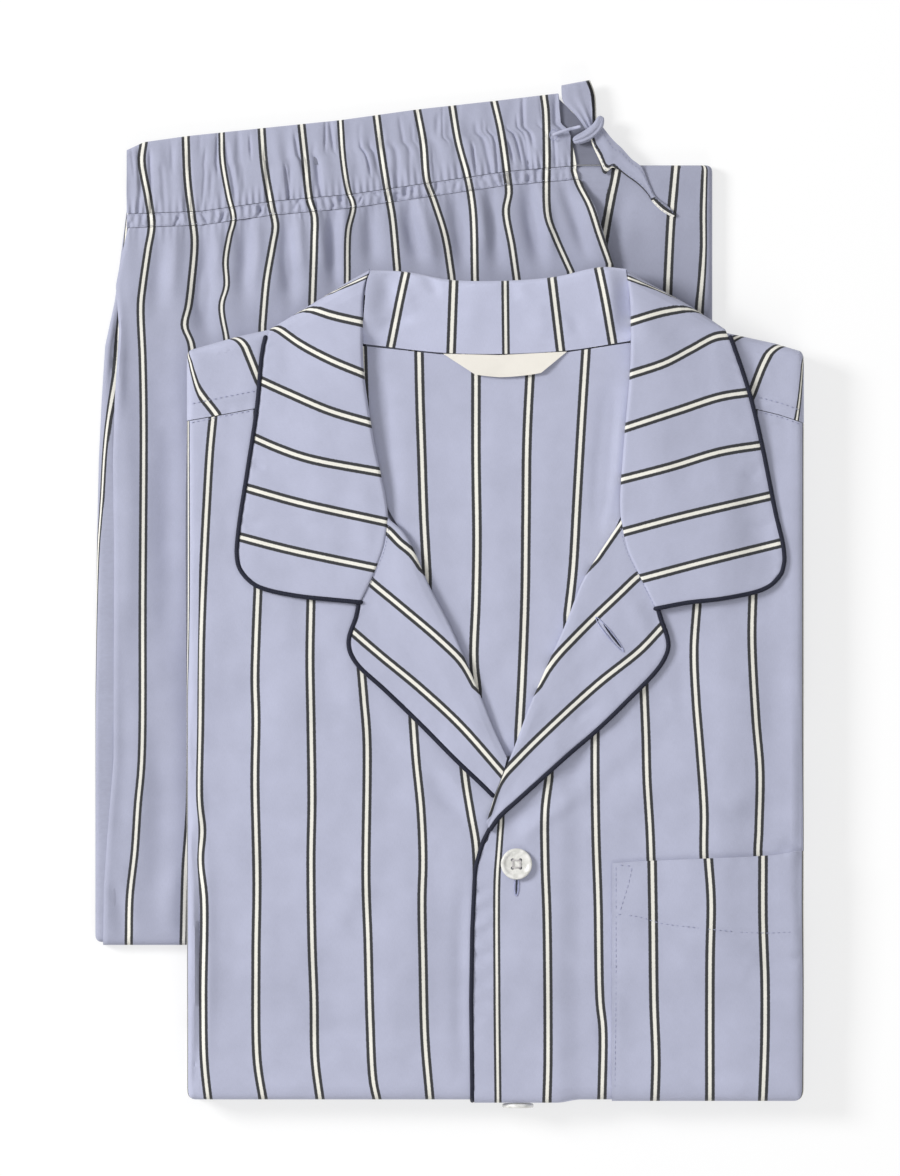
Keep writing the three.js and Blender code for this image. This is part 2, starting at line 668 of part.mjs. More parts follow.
function pipingBeside(edges, rows, { from, alongFoot }) {
  const grid = leafFace(edges, rows, false);
  const last = grid[0].length - 1;
  const side = grid.slice(from).map((row) => row[last]);
  const foot = alongFoot ? grid.at(-1).slice(3, last).reverse() : [];
  const edge = [...side, ...foot].map((point) => new THREE.Vector3(...point));
  const middle = Math.floor(side.length / 2);
  const across = side[middle].map((value, i) => value - grid[from + middle][0][i]);
  const turn = Math.sign(new THREE.Vector3(...across).cross(edge[middle + 1].clone().sub(edge[middle])).z);
  const path = edge.map((point, i) => {
    const before = point.clone().sub(edge[Math.max(i - 1, 0)]).setZ(0).normalize();
    const after = edge[Math.min(i + 1, edge.length - 1)].clone().sub(point).setZ(0).normalize();
    const along = before.clone().add(after).normalize();
    const halfTurn = i === 0 || i === edge.length - 1 ? 1 : Math.sqrt((1 + before.dot(after)) / 2);
    const away = new THREE.Vector3(along.y, -along.x, 0).multiplyScalar(turn);
    const room = (PIPING_RADIUS + PIPING_ROOM) / halfTurn;
    return point.clone().addScaledVector(away, room).setZ(point.z - LEAF_CLOTH / 2);
  });
  return cordGeometry(path, PIPING_RADIUS, CORD_SIDES);
}

function frontPiping() {
  const places = [-134, -142, -150, -160, -185, ...LOWER_SLOPE, -266, JACKET_BOTTOM + JACKET_FOLD.radius];
  const points = places.map((y) => {
    const x = rightInnerEdge(y) - PIPING_RADIUS - PIPING_ROOM;
    return new THREE.Vector3(x, y, frontRightTop(x, y) - JACKET_CLOTH / 2 + FRONT_PIPING_LIFT);
  });
  return cordGeometry(points, PIPING_RADIUS, CORD_SIDES);
}

// The label under the neck seam, on the back's own face
const LABEL_EDGES = [
  { down: 0, left: -3.6, right: 65.8 }, { down: 0.5, left: 5.4, right: 58.6 },
  { down: 1, left: 14.3, right: 51.3 },
];
const LABEL_LENGTH = 12.6;

function neckLabel() {
  const face = (lift) => LABEL_EDGES.map(({ down, left, right }) => spread(left, right, 6).map((x) => {
    const y = read(NECK_SEAM, 'x', 'y', x) - SEAM - 0.4 - down * LABEL_LENGTH;
    return [x, y, jacketTop(x, y) - BACK_DEPTH + lift];
  }));
  return wallGeometry(face(GAP + LABEL_CLOTH), face(GAP));
}

// Buttons: a dished disc with a raised rim and four holes

function asManifold(geometry) {
  const bare = geometry.clone();
  bare.deleteAttribute('normal');
  bare.deleteAttribute('uv');
  const merged = mergeVertices(bare, 1e-4);
  return new wasm.Manifold(new wasm.Mesh({
    numProp: 3,
    vertProperties: merged.getAttribute('position').array,
    triVerts: new Uint32Array(merged.getIndex().array),
  }));
}

function asGeometry(solid) {
  const mesh = solid.getMesh();
  const geometry = new THREE.BufferGeometry();
  geometry.setAttribute('position', new THREE.BufferAttribute(new Float32Array(mesh.vertProperties), 3));
  geometry.setIndex(new THREE.BufferAttribute(new Uint32Array(mesh.triVerts), 1));
  return geometry;
}

const BUTTON_PROFILE = [
  { out: 0, up: 0 }, { out: 0.86, up: 0 }, { out: 1, up: 0.33 }, { out: 1, up: 0.73 }, { out: 0.92, up: 1 },
  { out: 0.76, up: 1 }, { out: 0.66, up: 0.72 }, { out: 0, up: 0.66 },
];
const BUTTON_SIDES = 20;

function buttonGeometry() {
  const radius = BUTTON_DIAMETER / 2;
  const profile = BUTTON_PROFILE.map(({ out, up }) => new THREE.Vector2(out * radius, up * BUTTON_HEIGHT));
  let disc = asManifold(new THREE.LatheGeometry(profile, BUTTON_SIDES));
  for (const [i, j] of [[-1, -1], [1, -1], [1, 1], [-1, 1]]) {
    const hole = new THREE.CylinderGeometry(BUTTON_HOLE / 2, BUTTON_HOLE / 2, 3 * BUTTON_HEIGHT, 8);
    hole.translate((i * BUTTON_HOLE_SPACING) / 2, 0, (j * BUTTON_HOLE_SPACING) / 2);
    disc = disc.subtract(asManifold(hole));
  }
  return asGeometry(disc);
}

const UPPER_BUTTON = { x: 37.5, y: -151.7 };
const LOWER_BUTTON = { x: 38.4, z: 13.4 };

// The trousers

const LEG_STACK_COLUMNS = [-100, 40];
const LEG_STACK_ROWS = [164, 139, 108, 30, -60];

// The folded legs' upper face at a depth inside the outer cloth, with all four edges rolled down
function legSheet(depth) {
  const side = foldSection(TROUSER_BACK_FOLD, depth);
  const turned = [...side].reverse();
  const columns = [
    ...side.map(({ inset, drop }) => {
      return { at: (y, corner) => read(LEG_SIDE, 'y', 'x', y) + inset + corner, drop };
    }),
    ...LEG_STACK_COLUMNS.map((x) => ({ at: () => x, drop: depth })),
    ...turned.map(({ inset, drop }) => ({ at: (y, corner) => TROUSER_RIGHT - inset - corner, drop })),
  ];
  const foot = TROUSER_BOTTOM + TROUSER_CLOTH + GAP;
  const rows = [
    ...side.map(({ inset, corner, drop }) => ({ y: LEG_TOP_EDGE - inset, corner, drop })),
    ...LEG_STACK_ROWS.map((y) => ({ y, corner: 0, drop: depth })),
    ...turned.map(({ inset, corner, drop }) => ({ y: foot + inset, corner, drop })),
  ];
  return rows.map((row) => columns.map((column) => {
    return [column.at(row.y, row.corner), row.y, TROUSER_BACK_TOP - Math.max(column.drop, row.drop)];
  }));
}

function trouserBack() {
  return wallGeometry(legSheet(0), legSheet(TROUSER_BACK_CLOTH));
}

const LEG_STACK_SIDE = [
  { inset: 1.4, height: 0.94 }, { inset: 0.5, height: 0.8 }, { inset: 0.3, height: 0.5 },
  { inset: 1, height: 0.2 },
];

function trouserLegs() {
  const edge = TROUSER_BACK_TOP - TROUSER_BACK_FOLD.reach;
  const loops = LEG_STACK_SIDE.map(({ inset, height }) => {
    return rimOf(legSheet(inset)).map(([x, y]) => [x, y, edge * height]);
  });
  const lower = legSheet(STACK_FOOT_INSET).map((row) => row.map(([x, y]) => [x, y, 0]));
  return blockGeometry(legSheet(TROUSER_BACK_CLOTH + GAP), loops, lower);
}

// Soft folds run down from the gathered waist and fade where the jacket lies on them
function frontGather(column, y) {
  const fade = smooth((y - FRONT_GATHER_END) / FRONT_GATHER_LENGTH);
  const uneven = 0.72 + 0.28 * Math.sin(column * 2.4);
  return column % 2 ? FRONT_GATHER_HEIGHT * uneven * fade : 0;
}

const TROUSER_FRONT_ROWS = [190, FRONT_GATHER_END, 147.3, 108.1, -93.5, -138.3];

function trouserFront() {
  const belowCasing = (drop) => (x) => read(CASING_FOOT, 'x', 'y', x) - drop;
  const face = (depth) => {
    const rows = [
      { around: 218, at: belowCasing(SEAM), drop: depth },
      { around: 206, at: belowCasing(12), drop: depth },
      ...TROUSER_FRONT_ROWS.map((y) => ({ around: y, at: () => y, drop: depth })),
      ...foldSection(TROUSER_FRONT_FOLD, depth).reverse().map(({ inset, drop }) => ({
        around: TROUSER_BOTTOM + inset, at: () => TROUSER_BOTTOM + inset, drop,
      })),
    ];
    return rows.map((row) => {
      const left = read(FRONT_SIDE, 'y', 'x', row.around);
      const right = read(FRONT_RIGHT_SIDE, 'y', 'x', row.around);
      return spread(left, right, 2 * FRONT_GATHERS).map((x, column) => {
        const y = row.at(x);
        const raised = depth === 0 ? frontGather(column, y) : 0;
        return [x, y, trouserTop(y) - row.drop + raised];
      });
    });
  };
  return wallGeometry(face(0), face(TROUSER_CLOTH));
}

// The casing's gathers stand up between the stitch row and the top edge; the ruffles are the narrow
// puckers between the two rows of stitching
function bandWall({ waves, height, rows }) {
  const left = CASING_HEAD[0].x;
  const face = (outer) => rows.map((row) => spread(0, 1, 2 * waves).map((share, column) => {
    const x = THREE.MathUtils.lerp(left, read(CASING_RIGHT, 'y', 'x', row.around), share);
    const foot = read(CASING_FOOT, 'x', 'y', x);
    const y = row.at(foot, read(CASING_HEAD, 'x', 'y', x));
    const uneven = 0.7 + 0.3 * Math.sin(column * 1.7) * Math.cos(column * 0.6);
    const raised = column % 2 ? height * uneven * row.full : 0;
    return [x, y, trouserTop(y) + (outer ? raised - row.drop : -TROUSER_CLOTH)];
  }));
  return wallGeometry(face(true), face(false));
}

function waistbandCasing() {
  return bandWall({
    waves: CASING_GATHERS,
    height: CASING_GATHER_HEIGHT,
    rows: [
      { around: 280, at: (foot, head) => head, full: 0.5, drop: 0.7 },
      { around: 276, at: (foot, head) => head - 2.5, full: 0.9, drop: 0 },
      { around: 258, at: (foot, head) => (head + WAIST_BEND) / 2, full: 1, drop: 0 },
      { around: 242, at: (foot) => Math.max(WAIST_BEND, foot + RUFFLE_WIDTH + 1.4), full: 0.8, drop: 0 },
      { around: 236, at: (foot) => foot + RUFFLE_WIDTH + SEAM, full: 0.2, drop: 0.3 },
    ],
  });
}

function waistbandRuffle() {
  return bandWall({
    waves: RUFFLES,
    height: RUFFLE_HEIGHT,
    rows: [
      { around: 236, at: (foot) => foot + RUFFLE_WIDTH, full: 0.3, drop: 0.3 },
      { around: 230, at: (foot) => foot + RUFFLE_WIDTH / 2, full: 1, drop: 0 },
      { around: 226, at: (foot) => foot, full: 0.3, drop: 0.3 },
    ],
  });
}

// The back of the waist lies under the casing and shows past its right end
const BACK_WAIST_HEAD = [
  { x: -183.4, y: 247 }, { x: -171, y: 251.4 }, { x: -105, y: 259.4 }, { x: 28.3, y: 274.9 },
  { x: 61, y: 278.6 }, { x: 70.3, y: 269.4 }, { x: 87.7, y: 250 }, { x: 98, y: 242.6 },
];

const BACK_WAIST_COLUMNS = [-183.4, -181, -171, -105, -40, 28.3, 61, 70.3, 79, 87.7, 98];
const BACK_WAIST_SIDE = [
  { inset: 0.1, height: 0.84 }, { inset: 0, height: 0.66 }, { inset: 0.9, height: 0.52 },
  { inset: 0, height: 0.4 }, { inset: 0.1, height: 0.16 },
];

function backWaist() {
  const under = (y) => trouserTop(y) - TROUSER_CLOTH - SEAM;
  const face = (inset, height) => [1, 0.96, 0.5, 0].map((up) => BACK_WAIST_COLUMNS.map((place, i) => {
    const [first, last] = [i === 0, i === BACK_WAIST_COLUMNS.length - 1];
    const x = place + (first ? inset : 0) - (last ? inset : 0);
    const head = read(BACK_WAIST_HEAD, 'x', 'y', place) - inset;
    const y = THREE.MathUtils.lerp(LEG_TOP_EDGE + GAP, head, up);
    return [x, y, height * under(y)];
  }));
  const loops = BACK_WAIST_SIDE.map(({ inset, height }) => rimOf(face(inset, height)));
  return blockGeometry(face(0.9, 1), loops, face(1, 0));
}

// The tie: a bow loop, a knot, the strand from its eyelet and a free end with a hemmed tip

const TIE_CLOTH = 1;
const TIE_KNOT = { x: 78.6, y: 260, z: 10.6, long: 8, wide: 5.4, high: 4, turn: -35 };
const TIE_END_UPPER = [
  [90.6, 257.8], [94.6, 252.4], [100.2, 245.6], [107, 239.6], [112.3, 231], [116.4, 222.6], [126.2, 214.6],
];
const TIE_END_LOWER = [
  [82.4, 251.6], [83.6, 247.4], [86.6, 242], [96, 236.4], [106.2, 228.2], [113.4, 218.6], [122.8, 210.6],
];
const TIE_END_HEIGHT = 10.5;
const TIE_STRAND = { radius: 1.3, z: 11, path: [[58.6, 257.2], [62, 258.6], [66, 259.9], [69, 260.6]] };
const TIE_LOOP_SECTION = [
  { along: 0, z: 6.4 }, { along: 0.35, z: 6.2 }, { along: 0.75, z: 6.1 }, { along: 0.97, z: 6.4 },
  { along: 1, z: 7.9 }, { along: 0.96, z: 9.5 }, { along: 0.7, z: 10.4 }, { along: 0.35, z: 10.6 },
  { along: 0, z: 10 },
];

function tieLoop() {
  const left = planCurve([[73.6, 267], [69, 270.4], [64.2, 275.4], [62.8, 285.4]]);
  const right = planCurve([[82.4, 267.2], [83, 272], [81.8, 280], [79.2, 288.8]]);
  const grid = TIE_LOOP_SECTION.map(({ along, z }, i) => {
    const narrower = i > 4 ? 0.2 * (1 - along) + 0.08 : 0;
    const from = left.getPointAt(along);
    const to = right.getPointAt(along);
    return spread(0, 1, 4).map((u) => {
      const point = from.clone().lerp(to, u * (1 - narrower));
      return [point.x, point.y, z + 0.7 * Math.sin(Math.PI * u)];
    });
  });
  return wallGeometry(grid, movedIn(grid, -TIE_CLOTH));
}

function tieKnot() {
  const knot = new THREE.SphereGeometry(1, 14, 9);
  knot.deleteAttribute('normal');
  knot.deleteAttribute('uv');
  const merged = mergeVertices(knot, 1e-4);
  const place = merged.getAttribute('position');
  for (let i = 0; i < place.count; i += 1) {
    const [x, y, z] = [place.getX(i), place.getY(i), place.getZ(i)];
    const wrap = 1 + 0.1 * Math.cos(5 * (x + 0.6 * y));
    place.setXYZ(i, x * TIE_KNOT.long * wrap, y * TIE_KNOT.wide * wrap, z * TIE_KNOT.high);
  }
  merged.rotateZ(THREE.MathUtils.degToRad(TIE_KNOT.turn));
  merged.translate(TIE_KNOT.x, TIE_KNOT.y, TIE_KNOT.z);
  return merged;
}

function tieEnd() {
  const upper = planCurve(TIE_END_UPPER);
  const lower = planCurve(TIE_END_LOWER);
  const grid = spread(0, 1, 9).map((v) => spread(0, 1, 4).map((u) => {
    const point = lower.getPointAt(v).lerp(upper.getPointAt(v), u);
    return [point.x, point.y, TIE_END_HEIGHT + 0.8 * Math.sin(Math.PI * u) * (1 - v)];
  }));
  return wallGeometry(grid, movedIn(grid, -TIE_CLOTH));
}

function tieStrand() {
  const path = TIE_STRAND.path.map(([x, y]) => new THREE.Vector3(x, y, TIE_STRAND.z));
  return cordGeometry(path, TIE_STRAND.radius, 8);
}

// The set

const set = new THREE.Group();

function add(name, geometry, finish) {
  const mesh = new THREE.Mesh(geometry, new THREE.MeshStandardMaterial(finish));
  mesh.name = name;
  set.add(mesh);
  return mesh;
}

add('trouser_legs_folded', trouserLegs(), SHADED_CLOTH);
add('trouser_back', trouserBack(), CLOTH);
add('trouser_front', trouserFront(), CLOTH);
add('trouser_back_waist', backWaist(), SHADED_CLOTH);
add('waistband_casing', waistbandCasing(), CLOTH);
add('waistband_ruffle', waistbandRuffle(), CLOTH);
add('tie_loop', tieLoop(), CLOTH);
add('tie_knot', tieKnot(), CLOTH);
add('tie_strand', tieStrand(), CLOTH);
add('tie_end', tieEnd(), CLOTH);

add('jacket_folded_body', jacketBody(), SHADED_CLOTH);
add('jacket_back', jacketBack(), CLOTH);
add('shoulder_left', shoulder('left'), CLOTH);
add('shoulder_right', shoulder('right'), CLOTH);
add('front_left', frontLeft(), CLOTH);
add('front_right', frontRight(), CLOTH);
add('collar_stand', collarStand(), CLOTH);
add('collar_left', leafGeometry(COLLAR_LEFT, COLLAR_ROWS), CLOTH);
add('collar_right', leafGeometry(COLLAR_RIGHT, COLLAR_ROWS), CLOTH);
add('lapel_left', leafGeometry(LAPEL_LEFT, LAPEL_ROWS), CLOTH);
add('lapel_right', leafGeometry(LAPEL_RIGHT, LAPEL_ROWS), CLOTH);
add('pocket', pocket(), CLOTH);
add('neck_label', neckLabel(), LABEL);

add('piping_collar_left', pipingBeside(COLLAR_LEFT, COLLAR_ROWS, COLLAR_PIPING), PIPING);
add('piping_collar_right', pipingBeside(COLLAR_RIGHT, COLLAR_ROWS, COLLAR_PIPING), PIPING);
add('piping_lapel_left', pipingBeside(LAPEL_LEFT, LAPEL_ROWS, LAPEL_PIPING), PIPING);
add('piping_lapel_right', pipingBeside(LAPEL_RIGHT, LAPEL_ROWS, LAPEL_PIPING), PIPING);
add('piping_front', frontPiping(), PIPING);

const upperButton = add('button_upper', buttonGeometry(), PEARL);
upperButton.rotation.x = Math.PI / 2;
upperButton.position.set(
  UPPER_BUTTON.x, UPPER_BUTTON.y, frontRightTop(UPPER_BUTTON.x, UPPER_BUTTON.y) + GAP,
);

const lowerButton = add('button_lower', buttonGeometry(), PEARL);
lowerButton.rotation.x = Math.PI;
lowerButton.position.set(LOWER_BUTTON.x, JACKET_BOTTOM - FRONT_RISE - GAP, LOWER_BUTTON.z);

export default set;
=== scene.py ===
import math
from functools import partial

import bpy
import numpy as np
from mathutils import Matrix, Vector


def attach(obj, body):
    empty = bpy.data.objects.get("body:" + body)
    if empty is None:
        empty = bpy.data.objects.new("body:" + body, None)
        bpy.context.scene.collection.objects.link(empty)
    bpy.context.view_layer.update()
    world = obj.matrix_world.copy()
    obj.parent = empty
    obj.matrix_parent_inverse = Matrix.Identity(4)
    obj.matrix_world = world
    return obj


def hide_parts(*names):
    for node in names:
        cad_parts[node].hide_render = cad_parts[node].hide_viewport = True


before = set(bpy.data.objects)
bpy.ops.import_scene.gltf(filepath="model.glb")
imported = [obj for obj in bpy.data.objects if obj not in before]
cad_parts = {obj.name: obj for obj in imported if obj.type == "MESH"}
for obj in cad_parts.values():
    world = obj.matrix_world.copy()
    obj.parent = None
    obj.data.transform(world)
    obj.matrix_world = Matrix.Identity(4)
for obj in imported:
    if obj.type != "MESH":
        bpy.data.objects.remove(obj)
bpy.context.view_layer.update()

bl_info = {
    "name": "Folded pyjama set",
    "version": (1, 0, 0),
    "blender": (4, 5, 0),
    "location": "View3D > Sidebar > Pyjamas",
    "description": "Sews a folded, piped pyjama jacket on its trousers, piece by piece",
    "category": "Object",
}

# Sizes are in millimetres, and meshes are in metres
MM = 0.001

# ---------------------------------------------------------------- sizes of the folded set

GAP = 0.3
TROUSER_BACK_TOP = 8.8
TROUSER_TOP = 10.5
TROUSER_RIGHT = 147.6
TROUSER_BOTTOM = -197.7
LEG_TOP_EDGE = 240.2
LEG_FOLD = (5.0, 6.0)
FRONT_FOLD = (6.7, 8.5)
WAIST_BEND = 241.0
WAIST_SLOPE = 0.12
RUFFLE_WIDTH = 7.5
FRONT_HEAD = 205
RUFFLE_COLUMNS = 740
CASING_READS = (280, 236)
RUFFLE_READ_FALL = 10

JACKET_LEFT = -147.2
JACKET_RIGHT = 198.7
JACKET_BOTTOM = -284.0
JACKET_TOP = 29.6
JACKET_FOLD = (7.0, 10.0)
BODY_DEPTH = 1.8
FRONT_RISE = 1.8
FRONT_OVERLAP_EDGE = 58.0
LEAF_EDGE_RISE = 2.4
ROLL_ROOM = 3.4
POCKET_TOP = -149.6
JACKET_MIDDLE = 26.0
GABLE_START = 150.0
LOWER_ROLL = JACKET_BOTTOM + 7.6
SIDE_SLOPE = (149.0, 182.0)
LOWER_SLOPE = (-196.0, -250.0)
SIDE_FALL = 4
LOWER_FALL = 6
# Where the lap of the right front comes down again: start and length, across and up
LAP_ACROSS = (60, 14)
LAP_UP = (-77, 17)

CLOTH_THICK = 0.9
FINE_CLOTH = 0.7
PLAIN_REPEAT = 30.5
PIPING_RADIUS = 1.25
BUTTON_RADIUS = 8.8
BUTTON_HEIGHT = 2.7
UPPER_BUTTON = (37.5, -151.7)
LOWER_BUTTON = (38.4, 13.4)

# The reading grid: seams, edges and stripes are noted in steps of 0.56 mm from the set's upper left
STEP = 0.56
GRID_MIDDLE = (449.5, 593.0)
GRID_SIZE = (900, 1176)


def plan(points):
    """Points of the reading grid as x and y in millimetres."""
    p = np.array(points, float)
    return np.stack([(p[:, 0] - GRID_MIDDLE[0]) * STEP, (GRID_MIDDLE[1] - p[:, 1]) * STEP], 1)


# x against y of the main edges, as (y, x) rows, and y against x as (x, y) rows
ROLL_Y = [-138.5, -121.5, -99.1, -91.8, -54.3, -20.7, 5.6, 32.5, 43.7, 52.1, 85.7, 124.9, 150, 169.7, 181.5]
ROLL_LEFT = [32, 32, 32, 31.4, 16, 1.4, -12, -24.5, -31.2, -35.5, -42.3, -47.9, -48.4, -47.3, -43.9]
ROLL_RIGHT = [18.2, 21.6, 31.1, 34.4, 48.6, 63.4, 74.2, 89.9, 94.8, 95.5, 97.7, 101, 101.4, 100.4, 98.4]
FRONT_EDGE = [(-284, 13.9), (-228, 13.2), (-188.7, 13.8), (-155, 15.4), (-146.7, 17.6), (-138.5, 20.6)]
GABLE = [
    (-147.2, 135.6), (-120, 143.4), (-90, 150), (-60, 164), (-40, 171), (95, 171),
    (118, 162), (149, 147), (157, 145.4), (182, 140), (198.7, 135),
]
SHOULDER_SEAM = [
    (-147.2, 96.3), (-131, 99.1), (-107, 103.6), (-46, 113), (98, 113), (171, 103.1), (185, 99.7), (198.7, 95.2),
]
NECK_SEAM = [(-47, 138.8), (-5, 134.2), (28, 133.4), (66, 135.4), (100, 140.6)]
LEG_SIDE = [
    (-197.7, -198.9), (-60, -198.9), (30, -198), (74, -197), (108, -195.4), (139, -193.4), (164, -188),
    (240.2, -178),
]
FRONT_SIDE = [
    (-197.7, -194.5), (-165.2, -194), (-138.3, -192.3), (-93.5, -188.6), (29.7, -188.4), (74.5, -189),
    (108.1, -187.9), (147.3, -185.4), (172.5, -187.3), (187.6, -184.5), (205, -180.6),
]
FRONT_RIGHT_SIDE = [(-197.7, 143), (30, 140), (100, 118), (185.4, 91), (214.5, 81.5), (232.4, 72)]
CASING_FOOT = [
    (-180.6, 205.2), (-139.7, 206.7), (-99.4, 212.3), (-55.7, 216.2), (-13.7, 222.3), (32.8, 229.1),
    (72, 232.4), (90, 234),
]
CASING_HEAD = [
    (-181.2, 248.6), (-171.6, 253.1), (-147.5, 256.5), (-105, 261), (-61.3, 265.5), (-17.6, 271.6),
    (28.3, 276.7), (60.8, 280.6), (70, 279.6),
]
CASING_RIGHT = [(224, 72.6), (241.4, 70.4), (254, 68.2), (258.5, 66.5), (262, 62.5), (272, 61.5), (281, 61)]
BACK_WAIST_HEAD = [
    (-183.4, 247), (-171, 251.4), (-105, 259.4), (28.3, 274.9), (61, 278.6), (70.3, 269.4), (87.7, 250), (98, 242.6),
]


def table(rows, at):
    """Reads a table of pairs at a place or an array of places."""
    pairs = sorted(rows)
    return np.interp(at, [r[0] for r in pairs], [r[1] for r in pairs])


def smooth(t):
    t = np.clip(t, 0, 1)
    return t * t * (3 - 2 * t)


def bell(distance, width):
    return np.exp(-((distance / width) ** 2))


def rounded_off(distance, radius):
    """How far a cut edge has turned down at a distance from it: 1 at the edge, 0 from the radius on."""
    return 1 - np.sqrt(np.clip(1 - (1 - np.clip(distance / radius, 0, 1)) ** 2, 0, 1))


def roll_left(y):
    return np.interp(y, ROLL_Y, ROLL_LEFT)


def roll_right(y):
    return np.interp(y, ROLL_Y, ROLL_RIGHT)


# ---------------------------------------------------------------- stripes

# Each piece's stripes in order: the points of a stripe's centre line on the reading grid, x and y in turn
STRIPES = {
    "front_left": [
        [176, 420, 176, 620, 170, 700], [213, 418, 210, 450, 207, 500, 204, 560, 201, 640, 200, 720, 199, 800,
         202, 830, 200, 860, 204, 900, 203, 1000, 204, 1060, 208, 1100, 210, 1115], [258, 590, 256, 640, 255, 680,
         256, 720, 255, 780, 257, 880, 256, 960, 257, 1060, 263, 1100, 265, 1115], [311, 600, 310, 660, 311, 720,
         312, 800, 311, 860, 312, 940, 314, 1000, 315, 1060, 320, 1100], [361, 665, 364, 700, 367, 740, 366, 880,
         368, 940, 370, 1020, 373, 1080, 377, 1100], [413, 720, 416, 760, 421, 810, 423, 860, 422, 900, 423, 960,
         425, 1040, 430, 1100], [463, 760, 466, 785, 471, 815, 476, 845, 478, 900],
    ],
    "front_right": [
        [501, 822, 499, 850, 497, 880, 497, 1000, 498, 1100], [549, 778, 545, 810, 545, 860, 547, 920, 548, 1060,
         547, 1100], [595, 735, 595, 780, 596, 840, 598, 900, 600, 1000, 603, 1030, 602, 1100], [643, 670, 644, 690,
         646, 740, 647, 780, 650, 830, 651, 858, 653, 920, 655, 1100], [697, 605, 694, 650, 696, 700, 700, 750,
         704, 810, 704, 857, 708, 900, 710, 1100], [753, 595, 752, 640, 756, 720, 760, 770, 759, 830, 758, 855,
         762, 900, 763, 1100], [819, 425, 818, 740, 822, 860, 818, 960, 819, 1100],
    ],
    "pocket": [
        [598, 900, 600, 1000, 602, 1100], [652, 858, 653, 920, 654, 1000, 656, 1060, 655, 1100], [708, 856, 711, 900,
         710, 960, 710, 1100], [763, 854, 763, 920, 765, 980, 765, 1040, 763, 1100],
    ],
    "back": [
        [362, 340, 366, 460, 372, 575], [419, 352, 420, 400, 422, 460, 424, 520, 427, 575], [476, 375, 476, 460,
         477, 540, 476, 600, 474, 660, 477, 690], [530, 375, 527, 440, 526, 520, 525, 600, 522, 680, 519, 735],
        [586, 350, 581, 430, 577, 500, 573, 570, 568, 615], [640, 350, 634, 430, 630, 500],
    ],
    "stand": [
        [407, 268, 400, 300, 390, 350], [454, 274, 451, 356], [505, 276, 506, 356], [551, 272, 561, 354], [597, 262,
         605, 300, 613, 345],
    ],
    "shoulder_left": [
        [189, 374, 200, 393, 216, 414, 219, 420], [238, 330, 240, 334, 250, 358, 259, 380, 270, 402], [290, 316,
         300, 340, 310, 366],
    ],
    "shoulder_right": [
        [735, 330, 722, 352, 712, 376], [777, 338, 775, 342, 763, 365, 752, 393, 748, 402], [815, 365, 806, 400,
         800, 420],
    ],
    "collar_left": [
        [335, 285, 357, 277, 369, 272], [296, 304, 305, 306, 330, 315, 364, 323], [264, 321, 273, 325, 300, 344,
         330, 360, 366, 375], [257, 379, 290, 394, 330, 411, 374, 424], [250, 436, 280, 449, 310, 459, 384, 473],
        [243, 487, 300, 503, 390, 523], [236, 536, 290, 550, 380, 569],
    ],
    "collar_right": [
        [623, 274, 640, 278, 670, 286], [630, 322, 660, 313, 695, 306], [629, 375, 665, 363, 690, 350, 715, 337,
         730, 335], [625, 428, 680, 410, 720, 397, 751, 392], [620, 480, 670, 467, 720, 452, 762, 445], [620, 533,
         680, 517, 774, 495], [636, 580, 700, 563, 785, 542],
    ],
    "lapel_left": [
        [380, 526, 387, 530, 400, 543, 412, 553, 422, 567], [369, 580, 371, 582, 400, 606, 440, 640, 462, 662,
         475, 684], [349, 628, 351, 630, 380, 655, 420, 688, 460, 725, 505, 776],
    ],
    "lapel_right": [
        [624, 518, 619, 525, 605, 545, 596, 558], [640, 575, 636, 578, 615, 598, 598, 614, 575, 637, 558, 655,
         548, 668, 538, 685], [664, 625, 661, 628, 640, 650, 600, 682, 560, 718, 520, 757, 500, 780, 488, 812],
    ],
    "trouser_front": [
        [143, 141, 141, 160, 148, 200, 151, 225, 147, 250, 142, 285, 140, 305, 142, 360, 143, 420, 142, 600, 141, 760,
         137, 807, 134, 852, 129, 898, 128, 944], [185, 136, 187, 180, 191, 213, 194, 240, 191, 280, 188, 305,
         184, 325, 191, 345, 190.5, 420, 189.5, 520, 189.5, 800, 185, 870, 183, 946], [221, 133, 222, 160, 228, 195,
         233, 218, 229, 235, 225, 260, 226, 285, 221, 305, 226, 338], [261, 127, 264, 165, 271, 205, 275, 225,
         272, 245, 266, 280, 262, 325], [301, 123, 305, 160, 309, 198, 314, 215, 314, 240, 312, 300], [340, 119,
         343, 160, 348, 190, 353, 205, 348, 230, 347, 280], [376, 112, 381, 150, 387, 188, 392, 215, 397, 268],
        [417, 108, 423, 140, 427, 180, 434, 200, 445, 235, 452, 278], [452, 104, 458, 140, 468, 178, 473, 210,
         475, 280], [494, 99, 501, 130, 507, 172, 509, 192, 506, 210, 512, 245, 517, 280], [544, 94, 546, 110,
         547, 150, 548, 215, 555, 235, 572, 273], [575, 170, 579, 183, 590, 205, 600, 235, 610, 263],
    ],
    "trouser_back": [
        [119, 325, 116, 370, 103, 440, 97, 500, 88, 560, 80, 700, 76, 950], [621, 140, 617, 170, 610, 205, 603, 245],
        [677, 160, 672, 215, 670, 250, 668, 297, 668, 320], [707, 160, 705, 210, 705, 250, 700, 310, 700, 320],
    ],
}
